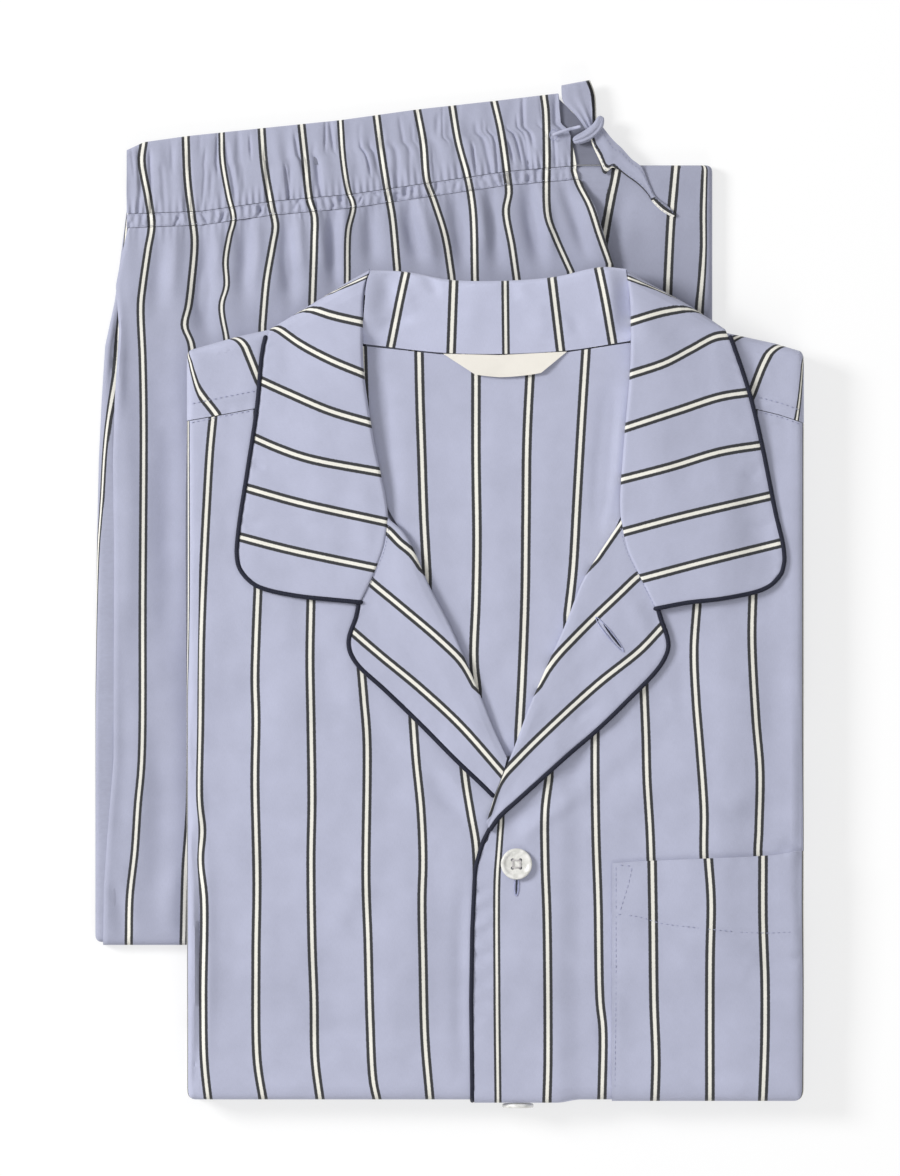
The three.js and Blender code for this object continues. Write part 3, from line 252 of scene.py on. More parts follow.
# How wide a stripe looks where its cloth turns away, as (piece, line number, share)
STRIPE_ACROSS = {
    "trouser_front": 0.86, ("trouser_front", 2): 0.7, ("trouser_front", 5): 0.72, ("stand", 2): 0.8,
    ("front_right", 0): 0.72, ("front_left", 1): 0.92, "front_left": 0.96, "front_right": 0.96,
}
STRIPE_COURSE = {
    "collar_left": -15, "collar_right": 15, "lapel_left": -42, "lapel_right": 45,
    "shoulder_left": -60, "shoulder_right": -118,
}
EXTRA_LINES = 5
STRIPE_ZONE = 0.13


def stripe_phase(piece, x, y, repeat):
    """A number that is whole on each stripe's centre line and grows by one in a repeat of the pattern."""
    turn = math.radians(STRIPE_COURSE.get(piece, -90))
    c, s = math.cos(turn), math.sin(turn)
    along = x * c + y * s
    across = -x * s + y * c
    lines = []
    for k, points in enumerate(STRIPES[piece]):
        p = plan(np.reshape(points, (-1, 2)))
        a, q = p[:, 0] * c + p[:, 1] * s, -p[:, 0] * s + p[:, 1] * c
        curve = Line(np.stack([a, q], 1)).points
        order = np.argsort(curve[:, 0])
        wide = STRIPE_ACROSS.get((piece, k), STRIPE_ACROSS.get(piece, 1.0))
        lines.append((k, curve[order, 0], curve[order, 1], wide))
    rising = 1.0 if lines[-1][2].mean() > lines[0][2].mean() else -1.0
    first, last = lines[0], lines[-1]
    for n in range(1, EXTRA_LINES + 1):
        lines.insert(0, (-n, first[1], first[2] - rising * n * repeat, 1.0))
        lines.append((last[0] + n, last[1], last[2] + rising * n * repeat, 1.0))
    phase = np.zeros(x.shape)
    for (k, a0, q0, wide0), (_, a1, q1, wide1) in zip(lines, lines[1:]):
        from_first = (across - np.interp(along, a0, q0)) * rising / repeat
        to_next = (np.interp(along, a1, q1) - across) * rising / repeat
        between = (from_first >= 0) & (to_next > 0)
        near0, near1 = from_first / wide0, to_next / wide1
        edge0, edge1 = STRIPE_ZONE * wide0, STRIPE_ZONE * wide1
        gap = np.maximum(from_first + to_next - edge0 - edge1, 1e-3)
        middle = STRIPE_ZONE + (1 - 2 * STRIPE_ZONE) * (from_first - edge0) / gap
        share = np.where(near0 < STRIPE_ZONE, near0, np.where(near1 < STRIPE_ZONE, 1 - near1, middle))
        phase = np.where(between, k + 20 + share, phase)
    return phase


# ---------------------------------------------------------------- creases and soft unevenness of the cloth

# Each crease: its points on the reading grid, x and y in turn, then half width and height (below 0 for a trough)
CREASES = {
    "jacket": [
        (427, 775, 450, 800, 474, 822, 7, -1.3), (440, 768, 460, 792, 480, 812, 5, 0.8),
        (311, 655, 330, 690, 345, 730, 12, -0.9), (335, 650, 350, 690, 362, 720, 9, 0.7),
        (355, 690, 380, 730, 402, 770, 11, -0.8), (385, 712, 410, 750, 430, 800, 8, 0.6),
        (240, 620, 252, 680, 258, 740, 14, -0.6), (300, 900, 320, 960, 324, 1020, 16, -0.6),
        (390, 900, 398, 960, 396, 1040, 14, 0.6), (230, 880, 236, 960, 232, 1040, 13, -0.7),
        (440, 880, 452, 950, 448, 1030, 12, -0.7),
        (195, 835, 198, 870, 199, 940, 199, 1000, 198, 1040, 195, 1080, 1.5, -2.4),
        (206, 840, 207, 900, 208, 1000, 206, 1060, 4, 0.8), (196, 770, 200, 800, 197, 830, 3, 0.9),
        (190, 700, 194, 760, 192, 800, 3, -0.8), (198, 640, 200, 700, 198, 760, 8, 0.6),
        (228, 450, 226, 520, 222, 600, 9, -0.5), (505, 832, 525, 812, 548, 800, 5, -1.2),
        (520, 838, 545, 818, 575, 800, 4, 0.8), (548, 790, 575, 770, 602, 748, 6, -0.9),
        (560, 805, 590, 785, 625, 760, 6, 0.7), (585, 790, 625, 765, 668, 735, 8, -0.8),
        (612, 735, 640, 712, 672, 700, 8, -0.9), (605, 815, 650, 790, 700, 770, 10, 0.6),
        (620, 835, 670, 828, 720, 836, 8, -0.7), (722, 805, 750, 788, 780, 770, 10, 0.7),
        (728, 830, 756, 815, 792, 800, 8, -0.7), (660, 625, 700, 618, 760, 612, 796, 600, 9, -0.8),
        (720, 660, 740, 700, 748, 750, 12, 0.5), (775, 640, 782, 700, 786, 780, 10, -0.6),
        (676, 650, 684, 720, 688, 780, 11, -0.5), (799, 700, 800, 800, 799, 900, 801, 960, 1.6, -0.8),
        (778, 848, 790, 845, 800, 850, 3, -0.7), (786, 854, 796, 851, 803, 856, 3, 0.4),
        (795, 958, 803, 955, 808, 962, 1.8, -1.2), (474, 894, 484, 890, 494, 889, 1.5, -0.7),
        (475, 903, 484, 899, 493, 897, 1.6, 0.6), (476, 912, 485, 909, 495, 910, 1.4, -0.7),
        (476, 926, 486, 922, 495, 921, 1.7, 0.6), (476, 934, 484, 933, 492, 930, 1.4, -0.7),
        (475, 945, 485, 947, 493, 945, 1.6, 0.5), (474, 954, 482, 957, 490, 954, 1.4, -0.7),
        (474, 966, 484, 968, 493, 968, 1.7, 0.5), (475, 980, 484, 983, 490, 981, 1.5, -0.6),
        (474, 1000, 484, 1003, 492, 1001, 1.8, -0.4), (463, 880, 461, 940, 460, 1000, 461, 1070, 4.5, -0.9),
        (524, 905, 530, 980, 528, 1060, 9, 0.25), (572, 880, 576, 960, 574, 1050, 12, -0.25),
        (600, 1010, 603, 1030, 604, 1060, 3, -0.7), (620, 1010, 640, 1015, 660, 1012, 6, -0.4),
        (660, 940, 700, 960, 745, 975, 9, -0.5), (745, 940, 772, 960, 798, 965, 6, -0.7),
        (680, 1000, 730, 1020, 790, 1010, 12, 0.5), (560, 1050, 620, 1062, 690, 1050, 10, -0.4),
        (285, 1050, 335, 1030, 375, 1042, 9, -0.9), (300, 1075, 340, 1062, 372, 1070, 8, 0.6),
        (215, 800, 250, 822, 300, 830, 9, -0.6), (330, 930, 352, 905, 366, 870, 8, 0.6),
        (215, 1085, 330, 1088, 460, 1086, 5, 0.5), (500, 1086, 620, 1088, 780, 1085, 5, 0.5),
    ],
    "shoulders": [
        (200, 356, 222, 372, 244, 380, 8, -0.6), (196, 392, 225, 398, 255, 392, 3, 0.5),
        (212, 348, 235, 345, 258, 338, 5, 0.5), (770, 372, 785, 368, 803, 372, 7, -0.6),
        (760, 402, 780, 404, 800, 410, 3, 0.5), (745, 345, 752, 360, 756, 380, 5, -0.6),
    ],
    "back": [
        (376, 360, 380, 430, 392, 500, 7, -0.9), (398, 370, 402, 450, 410, 540, 10, 0.5),
        (612, 380, 606, 450, 600, 520, 5, -1.1), (622, 400, 616, 470, 606, 530, 3, 0.7),
        (450, 420, 452, 520, 458, 620, 14, -0.5), (552, 400, 548, 500, 540, 600, 12, 0.5),
        (450, 560, 470, 620, 490, 690, 9, -0.6), (500, 420, 500, 520, 498, 620, 12, 0.4),
    ],
    "stand": [
        (362, 262, 363, 300, 362, 345, 11, 2.6), (398, 262, 390, 292, 380, 322, 7, -1.4),
        (388, 276, 400, 290, 412, 304, 4, 0.9), (382, 330, 396, 318, 414, 316, 4, -0.9),
        (426, 272, 432, 284, 438, 296, 3.5, -0.9), (470, 282, 474, 300, 472, 330, 8, 0.6),
        (506, 280, 511, 292, 518, 300, 4, -0.6), (516, 286, 524, 298, 534, 306, 5, 0.5),
        (566, 312, 575, 324, 580, 334, 3.5, -0.5), (556, 308, 566, 320, 570, 336, 5, 0.5),
        (606, 262, 610, 290, 614, 326, 5, 1.5), (632, 262, 632, 300, 632, 340, 9, -2.4),
        (536, 300, 542, 320, 540, 340, 6, 0.5),
    ],
    "collar": [
        (262, 470, 285, 492, 305, 520, 9, -0.6), (300, 420, 325, 470, 336, 520, 11, 0.6),
        (276, 340, 270, 380, 264, 420, 8, 0.5), (330, 490, 345, 530, 350, 570, 10, -0.6),
        (250, 545, 285, 572, 330, 580, 8, -0.5), (320, 300, 335, 330, 345, 350, 10, -0.5),
        (360, 480, 366, 510, 368, 545, 6, 0.5), (252, 460, 258, 466, 266, 468, 2.4, -0.6),
        (246, 486, 253, 491, 262, 492, 2.2, -0.5), (243, 520, 252, 523, 262, 522, 2.6, -0.5),
        (700, 400, 715, 440, 722, 480, 12, -0.6), (655, 430, 662, 480, 668, 520, 10, 0.6),
        (740, 500, 752, 530, 765, 556, 8, -0.6), (690, 540, 720, 560, 752, 568, 9, 0.5),
        (670, 330, 690, 345, 715, 352, 9, -0.5), (632, 300, 650, 330, 660, 350, 8, 0.5),
        (762, 470, 752, 476, 742, 474, 2.4, -0.5), (776, 522, 766, 526, 756, 524, 2.4, -0.5),
    ],
    "lapels": [
        (372, 600, 395, 640, 430, 672, 7, -0.5), (400, 560, 425, 600, 448, 640, 8, 0.5),
        (395, 672, 415, 682, 430, 698, 4, -0.5), (455, 700, 470, 722, 488, 745, 5, 0.5),
        (600, 600, 590, 632, 566, 664, 6, -0.6), (630, 600, 640, 620, 648, 640, 5, 0.5),
        (612, 640, 596, 662, 570, 684, 7, -0.5), (540, 700, 525, 725, 508, 752, 5, 0.5),
        (596, 706, 584, 712, 574, 722, 3, -0.5), (500, 790, 494, 802, 488, 815, 3, -0.6),
    ],
    "trousers": [
        (162, 235, 160, 270, 156, 310, 6, -1.3), (172, 232, 172, 262, 168, 300, 5, 1.0),
        (205, 232, 208, 262, 202, 300, 206, 335, 6, -2.0), (214, 228, 216, 250, 212, 280, 4, 1.2),
        (245, 222, 246, 260, 242, 300, 6, -1.6), (256, 222, 256, 250, 250, 290, 4, 1.0),
        (288, 216, 288, 250, 290, 300, 5, -1.9), (298, 214, 298, 240, 300, 270, 4, 1.1),
        (332, 210, 334, 240, 336, 290, 5, -1.7), (322, 212, 322, 240, 326, 270, 4, 0.9),
        (343, 206, 341, 240, 342, 280, 3, 1.2), (366, 203, 370, 236, 372, 262, 5, -1.5),
        (405, 200, 412, 230, 420, 262, 5, -1.8), (416, 196, 424, 222, 434, 260, 4, 1.1),
        (455, 194, 460, 226, 464, 266, 5, -1.7), (488, 188, 493, 222, 498, 268, 5, -1.5),
        (480, 190, 484, 215, 488, 250, 4, 1.0), (528, 184, 532, 216, 540, 262, 5, -1.9),
        (538, 182, 544, 210, 552, 250, 3.5, 1.2), (562, 182, 575, 215, 588, 256, 4, -1.4),
        (158, 360, 162, 460, 160, 600, 9, -0.7), (124, 380, 128, 500, 126, 640, 6, 0.6),
        (168, 420, 170, 520, 166, 640, 7, -0.8), (120, 660, 124, 760, 118, 850, 6, -0.6),
        (152, 700, 160, 800, 156, 900, 8, -0.8), (118, 300, 120, 340, 118, 420, 3, 0.8),
        (176, 860, 170, 900, 172, 940, 6, 0.7), (112, 880, 120, 910, 124, 940, 5, -0.8),
    ],
    "under_leg": [
        (113, 290, 116, 325, 115, 350, 108, 385, 2.8, -2.6), (104, 350, 106, 420, 102, 500, 3, 0.6),
        (640, 200, 645, 240, 640, 290, 10, -0.4), (690, 200, 688, 250, 690, 300, 8, 0.25),
        (625, 190, 618, 220, 612, 250, 5, -1.2), (655, 170, 660, 220, 655, 280, 8, 0.3),
        (97, 560, 99, 700, 98, 850, 2.5, -0.8),
    ],
}


def crease_height(group, x, y, depth):
    """The height that a group's creases add at x, y, in millimetres."""
    total = np.zeros(x.shape)
    for *points, width, height in CREASES[group]:
        p = plan(np.reshape(points, (-1, 2)))
        reach = 3 * width
        near = (x > p[:, 0].min() - reach) & (x < p[:, 0].max() + reach)
        near &= (y > p[:, 1].min() - reach) & (y < p[:, 1].max() + reach)
        if not near.any():
            continue
        xs, ys = x[near], y[near]
        best = np.full(xs.shape, np.inf)
        where = np.zeros(xs.shape)
        lengths = np.linalg.norm(np.diff(p, axis=0), axis=1)
        starts = np.concatenate([[0], np.cumsum(lengths)])
        for i, length in enumerate(lengths):
            d = (p[i + 1] - p[i]) / length
            t = np.clip((xs - p[i, 0]) * d[0] + (ys - p[i, 1]) * d[1], 0, length)
            gap = np.hypot(xs - p[i, 0] - t * d[0], ys - p[i, 1] - t * d[1])
            closer = gap < best
            best = np.where(closer, gap, best)
            where = np.where(closer, (starts[i] + t) / starts[-1], where)
        fade = np.sqrt(np.clip(np.sin(np.pi * np.clip(where, 0.02, 0.98)), 0, 1))
        total[near] += height * fade * bell(best, width)
    return total * depth


def lattice_noise(x, y, wide, long, seed):
    """Soft noise between -1 and 1 from a seeded lattice of values."""
    rng = np.random.default_rng(seed)
    values = rng.uniform(-1, 1, (64, 64))
    u, v = (x + 400) / wide, (y + 400) / long
    i, j = np.floor(u).astype(int), np.floor(v).astype(int)
    a, b = smooth(u - i), smooth(v - j)

    def at(di, dj):
        return values[(i + di) % 64, (j + dj) % 64]

    return (at(0, 0) * (1 - a) + at(1, 0) * a) * (1 - b) + (at(0, 1) * (1 - a) + at(1, 1) * a) * b


def softness(x, y, seed):
    return (0.5 * lattice_noise(x, y, 34, 62, seed) + 0.24 * lattice_noise(x, y, 14, 24, seed + 1)
            + 0.06 * lattice_noise(x, y, 5, 7, seed + 2))


PUCKER_REACH = 4.5
PUCKER_PITCH = 9.5


def edge_pucker(distance, along, height, seed):
    """Small puckers beside a sewn edge, fading with the distance from it."""
    wave = np.sin(along * 2 * np.pi / PUCKER_PITCH + 2.2 * lattice_noise(along, along * 0, 31, 40, seed))
    uneven = 0.6 + 0.4 * lattice_noise(along, along * 0 + 9, 23, 40, seed + 1)
    return height * wave * uneven * bell(distance, PUCKER_REACH)


# ---------------------------------------------------------------- surfaces of the two garments

def side_slope(x):
    return smooth((x - SIDE_SLOPE[0]) / (SIDE_SLOPE[1] - SIDE_SLOPE[0]))


def lower_slope(y):
    return smooth((y - LOWER_SLOPE[0]) / (LOWER_SLOPE[1] - LOWER_SLOPE[0]))


def jacket_under(x, y):
    return (TROUSER_TOP + GAP) * (1 - side_slope(x)) * (1 - lower_slope(y))


def jacket_top(x, y):
    return JACKET_TOP - LOWER_FALL * (1 - (1 - side_slope(x) * SIDE_FALL / LOWER_FALL) * (1 - lower_slope(y)))


def overlap_rise(x, y):
    across = 1 - smooth((x - LAP_ACROSS[0]) / LAP_ACROSS[1])
    return FRONT_RISE * across * smooth((LAP_UP[0] - y) / LAP_UP[1])


def front_top(x, y):
    return jacket_top(x, y) + overlap_rise(x, y)


def front_surface(x, y):
    return front_top(x, y) + jacket_relief(x, y)


def trouser_top(y):
    return TROUSER_TOP - WAIST_SLOPE * np.maximum(0, y - WAIST_BEND)


def jacket_relief(x, y):
    depth = settings().crease_depth
    inside = smooth((x - JACKET_LEFT) / 5) * smooth((JACKET_RIGHT - x) / 5) * smooth((y - JACKET_BOTTOM) / 7)
    return (crease_height("jacket", x, y, depth) + softness(x, y, 3) * depth) * (0.3 + 0.7 * inside)


def settings():
    return bpy.context.scene.pyjama_set


# ---------------------------------------------------------------- meshes

# Below 1, a roll is squarer than a quarter circle
ROLL_POWER = 0.65


def arc(radius, reach, steps=9, depth=0.0):
    """A rolled edge from its lowest line to the flat cloth: inset, corner, drop and length still to unroll."""
    r = radius - depth
    angle = np.linspace(0, np.pi / 2, steps)
    across, up = np.cos(angle) ** ROLL_POWER, np.sin(angle) ** ROLL_POWER
    across[-1] = 0
    inset = depth + r * (1 - across)
    corner = r * (1 - up)
    drop = depth + r * (1 - up)
    unroll = r * (np.pi / 2 - angle)
    skirt = reach - radius
    return (np.concatenate([[depth], inset]), np.concatenate([[r], corner]),
            np.concatenate([[depth + r + skirt], drop]), np.concatenate([[unroll[0] + skirt], unroll]))


def place_object(name, data):
    obj = bpy.data.objects.new(name, data)
    bpy.context.scene.collection.objects.link(obj)
    return obj


def mesh_from(name, points, faces):
    """A mesh from points in millimetres."""
    mesh = bpy.data.meshes.new(name)
    mesh.from_pydata((np.asarray(points) * MM).tolist(), [], [list(face) for face in faces])
    return mesh


def points_of(mesh):
    co = np.empty(len(mesh.vertices) * 3)
    mesh.vertices.foreach_get("co", co)
    return co.reshape(-1, 3)


def lay_pattern(mesh, uv):
    """Gives each corner of a mesh the pattern place of its point."""
    layer = mesh.uv_layers.new(name="Cloth")
    index = np.empty(len(mesh.loops), np.int32)
    mesh.loops.foreach_get("vertex_index", index)
    layer.data.foreach_set("uv", np.asarray(uv, np.float32)[index].ravel())


def make_mesh(name, points, faces, uv, sharp=48):
    """A smooth closed mesh with its faces turned outward."""
    a, b, c = points[faces[:, 0]], points[faces[:, 1]], points[faces[:, 2]]
    volume = np.einsum("ij,ij->", a, np.cross(b, c))
    volume += np.einsum("ij,ij->", a, np.cross(c, points[faces[:, 3]]))
    if volume < 0:
        faces = faces[:, ::-1]
    mesh = mesh_from(name, points, faces.tolist())
    mesh.validate()
    lay_pattern(mesh, uv)
    mesh.shade_smooth()
    mesh.set_sharp_from_angle(angle=math.radians(sharp))
    return place_object(name, mesh)


def normals_of(grid, rows=slice(None)):
    """Normals of a grid, turned so that the given rows face up."""
    n = np.cross(np.gradient(grid, axis=1), np.gradient(grid, axis=0))
    n /= np.maximum(np.linalg.norm(n, axis=2, keepdims=True), 1e-9)
    return n if np.median(n[rows, :, 2]) > 0 else -n


def rim(rows, columns):
    """Index pairs round a grid, in order."""
    top = [(0, c) for c in range(columns - 1)]
    right = [(r, columns - 1) for r in range(rows - 1)]
    foot = [(rows - 1, c) for c in range(columns - 1, 0, -1)]
    left = [(r, 0) for r in range(rows - 1, 0, -1)]
    return top + right + foot + left


def ring_faces(rings, sides):
    """Faces between rings of points, each ring as many sides round."""
    return [(k * sides + j, k * sides + (j + 1) % sides, (k + 1) * sides + (j + 1) % sides, (k + 1) * sides + j)
            for k in range(rings - 1) for j in range(sides)]


def grid_faces(rows, columns, start=0):
    r, c = np.meshgrid(np.arange(rows - 1), np.arange(columns - 1), indexing="ij")
    a = (r * columns + c).ravel() + start
    return np.stack([a, a + columns, a + columns + 1, a + 1], 1)


def cloth_piece(name, grid, uv, thick=CLOTH_THICK, inner=None):
    """A thin closed shell: the grid is its outer face, and the inner face lies a cloth's thickness below."""
    rows, columns = grid.shape[:2]
    if inner is None:
        inner = grid - normals_of(grid) * thick
    count = rows * columns
    points = np.concatenate([grid.reshape(-1, 3), inner.reshape(-1, 3)])
    outer_faces = grid_faces(rows, columns)
    inner_faces = grid_faces(rows, columns, count)[:, ::-1]
    loop = np.array([r * columns + c for r, c in rim(rows, columns)])
    nxt = np.roll(loop, -1)
    side = np.stack([loop, nxt, nxt + count, loop + count], 1)
    uvs = np.concatenate([uv.reshape(-1, 2)] * 2)
    return make_mesh(name, points, np.concatenate([outer_faces, inner_faces, side]), uvs)


def stripe_repeat():
    return settings().stripe_repeat / MM


def cloth_uv(piece, x, y, along=None):
    repeat = stripe_repeat()
    phase = stripe_phase(piece, x, y, repeat)
    return np.stack([phase, (y if along is None else along) / repeat + 12], -1)


def finish_trim(obj, material, node=None):
    obj.data.materials.append(material)
    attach(obj, "root")
    if node:
        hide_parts(node)
    return obj


def finish_cloth(obj, node, material, grid, rests_on, slot="cloth", fuller=1.0, held="folded"):
    """Like a trim; fuller, how much wider the cloth is before it's gathered, is not used."""
    finish_trim(obj, material, node)
    return obj


SPAN_STEPS = 24


class Line:
    """A smooth plan line through points, read by its share of length."""

    def __init__(self, points):
        p = np.array(points, float)
        p = np.vstack([2 * p[0] - p[1], p, 2 * p[-1] - p[-2]])
        out = []
        for i in range(1, len(p) - 2):
            near = p[i - 1:i + 3]
            gaps = [max(np.linalg.norm(b - a), 1e-6) ** 0.5 for a, b in zip(near, near[1:])]
            t0, t1, t2, t3 = np.concatenate([[0], np.cumsum(gaps)])
            t = np.linspace(t1, t2, SPAN_STEPS, endpoint=i == len(p) - 3)[:, None]

            def blend(a, b, start, end, t=t):
                return (end - t) / (end - start) * a + (t - start) / (end - start) * b

            first, middle, last = blend(*near[:2], t0, t1), blend(*near[1:3], t1, t2), blend(*near[2:], t2, t3)
            out.append(blend(blend(first, middle, t0, t2), blend(middle, last, t1, t3), t1, t2))
        self.points = np.vstack(out)
        steps = np.linalg.norm(np.diff(self.points, axis=0), axis=1)
        self.length = steps.sum()
        self.share = np.concatenate([[0], np.cumsum(steps)]) / self.length

    def at(self, t):
        t = np.asarray(t, float)
        return np.stack([np.interp(t, self.share, self.points[:, k]) for k in range(self.points.shape[1])], -1)

    def spaced(self, pitch):
        return self.at(np.linspace(0, 1, max(2, int(round(self.length / pitch)) + 1)))


# A cord's rounded end, as (push past the end, share of the radius), from the tip in
CORD_END = ((0.9, 0.4), (0.55, 0.8))


def tube(name, path, radius, sides=10, flatten=1.0, uv_pitch=10.0):
    """A cord along a path, with rounded closed ends."""
    path = np.asarray(path, float)
    tangent = np.gradient(path, axis=0)
    tangent /= np.linalg.norm(tangent, axis=1, keepdims=True)
    side = np.cross(tangent, np.array([0.0, 0.0, 1.0]))
    short = np.linalg.norm(side, axis=1) < 0.2
    side[short] = np.cross(tangent[short], [0.0, 1.0, 0.0])
    side /= np.linalg.norm(side, axis=1, keepdims=True)
    normal = np.cross(side, tangent)
    last = len(path) - 1
    travelled = np.concatenate([[0], np.cumsum(np.linalg.norm(np.diff(path, axis=0), axis=1))])
    stations = [(0, -push, scale) for push, scale in CORD_END] + [(i, 0.0, 1.0) for i in range(last + 1)]
    stations += [(last, push, scale) for push, scale in CORD_END[::-1]]
    angle = np.linspace(0, 2 * np.pi, sides, endpoint=False)
    rings, uvs = [], []
    for i, push, scale in stations:
        around = np.outer(np.cos(angle), side[i]) + np.outer(np.sin(angle) * flatten, normal[i])
        rings.append(path[i] + tangent[i] * push * radius + around * radius * scale)
        uvs.append(np.stack([angle / (2 * np.pi), np.full(sides, travelled[i] / uv_pitch)], 1))
    count = len(rings) * sides
    faces = ring_faces(len(rings), sides)
    faces += [(count, (j + 1) % sides, j) for j in range(sides)]
    faces += [(count + 1, count - sides + j, count - sides + (j + 1) % sides) for j in range(sides)]
    points = np.concatenate(rings + [[rings[0].mean(0)], [rings[-1].mean(0)]])
    mesh = mesh_from(name, points, faces)
    lay_pattern(mesh, np.concatenate(uvs + [np.zeros((2, 2))]))
    mesh.shade_smooth()
    return place_object(name, mesh)


def stitches(name, runs, pitch=3.0, length=2.3, wide=0.5, high=0.32):
    """Rows of raised stitches. Each run is a list of points in space, in millimetres."""
    points, faces = [], []
    shape = np.array([(-0.5, 0, 0), (0.5, 0, 0), (0, 0.5, 0), (0, -0.5, 0), (0, 0, 0.5), (0, 0, -0.5)])
    turns = [(0, 4, 2), (0, 2, 5), (0, 5, 3), (0, 3, 4), (1, 2, 4), (1, 5, 2), (1, 3, 5), (1, 4, 3)]
    for run in runs:
        line = Line(run)
        count = max(1, int(line.length / pitch))
        shares = (np.arange(count) + 0.5) / count
        centres = line.at(shares)
        ahead = line.at(np.minimum(shares + 0.3 * length / line.length, 1))
        behind = line.at(np.maximum(shares - 0.3 * length / line.length, 0))
        for centre, a, b in zip(centres, ahead, behind):
            t = (a - b) / np.linalg.norm(a - b)
            side = np.cross([0, 0, 1.0], t)
            side /= np.linalg.norm(side)
            up = np.cross(t, side)
            base = len(points)
            for px, py, pz in shape:
                points.append(centre + t * px * length + side * py * wide + up * pz * high)
            faces += [tuple(base + i for i in f) for f in turns]
    mesh = mesh_from(name, points, faces)
    mesh.shade_smooth()
    return place_object(name, mesh)


def height_over(points):
    """A surface that is read as the height of the nearest of its points."""
    def read(x, y):
        x, y = np.atleast_1d(x), np.atleast_1d(y)
        nearest = np.argmin((points[None, :, 0] - x[:, None]) ** 2 + (points[None, :, 1] - y[:, None]) ** 2, axis=1)
        return points[nearest, 2]

    return read


# ---------------------------------------------------------------- materials

def node(nodes, kind, **values):
    made = nodes.new(kind)
    for key, value in values.items():
        setattr(made, key, value)
    return made


def math_node(tree, operation, a, b=None, c=None, clamp=False):
    made = node(tree.nodes, "ShaderNodeMath", operation=operation, use_clamp=clamp)
    for i, value in enumerate((a, b, c)):
        if isinstance(value, (int, float)):
            made.inputs[i].default_value = value
        elif value is not None:
            tree.links.new(value, made.inputs[i])
    return made.outputs[0]


def noise_over(tree, coordinates, scale, detail=2.0, roughness=0.5, distortion=0.0):
    """Noise at the given coordinates."""
    noise = tree.nodes.new("ShaderNodeTexNoise")
    for label, value in (("Scale", scale), ("Detail", detail), ("Roughness", roughness), ("Distortion", distortion)):
        noise.inputs[label].default_value = value
    tree.links.new(coordinates, noise.inputs["Vector"])
    return noise.outputs["Fac"]


def group(name, inputs, outputs):
    tree = bpy.data.node_groups.new(name, "ShaderNodeTree")
    for label, kind, value in inputs:
        socket = tree.interface.new_socket(name=label, in_out="INPUT", socket_type=kind)
        socket.default_value = value
    for label, kind in outputs:
        tree.interface.new_socket(name=label, in_out="OUTPUT", socket_type=kind)
    return tree, tree.nodes.new("NodeGroupInput"), tree.nodes.new("NodeGroupOutput")


def weave_group():
    """Fine plain weave: a height for the bump, and a value that varies the yarn's tone and adds broad patches of
    painted shade.
    """
    if "Plain weave" in bpy.data.node_groups:
        return bpy.data.node_groups["Plain weave"]
    tree, given, out = group(
        "Plain weave",
        [("Coordinates", "NodeSocketVector", (0, 0, 0)), ("Threads", "NodeSocketFloat", 90.0),
         ("Slub", "NodeSocketFloat", 0.5)],
        [("Height", "NodeSocketFloat"), ("Shade", "NodeSocketFloat")],
    )
    nodes, links, calc = tree.nodes, tree.links, partial(math_node, tree)
    split = nodes.new("ShaderNodeSeparateXYZ")
    links.new(given.outputs["Coordinates"], split.inputs[0])
    turns = calc("MULTIPLY", given.outputs["Threads"], 2 * math.pi)
    warp = calc("SINE", calc("MULTIPLY", split.outputs[0], turns))
    weft = calc("SINE", calc("MULTIPLY", split.outputs[1], turns))
    cross = calc("MULTIPLY", warp, weft)
    stretch = node(nodes, "ShaderNodeMapping")
    stretch.inputs["Scale"].default_value = (6.0, 0.9, 1.0)
    links.new(given.outputs["Coordinates"], stretch.inputs["Vector"])
    slub = noise_over(tree, stretch.outputs[0], 14.0, detail=5.0, roughness=0.7)
    fleck = noise_over(tree, given.outputs["Coordinates"], 60.0, detail=3.0)
    mix = calc("ADD", calc("MULTIPLY", slub, 0.7), calc("MULTIPLY", fleck, 0.3))
    uneven = calc("MULTIPLY", calc("SUBTRACT", mix, 0.5), given.outputs["Slub"])
    height = calc("ADD", calc("MULTIPLY", cross, 0.35), uneven)
    links.new(height, out.inputs["Height"])
    # Broad soft patches of painted shade, standing in for the shading of soft folds
    broad = noise_over(tree, given.outputs["Coordinates"], 1.6, detail=4.0)
    cloud = calc("MULTIPLY", calc("SUBTRACT", broad, 0.5), 0.5)
    links.new(calc("ADD", calc("ADD", uneven, cloud), 0.5, clamp=True), out.inputs["Shade"])
    return tree


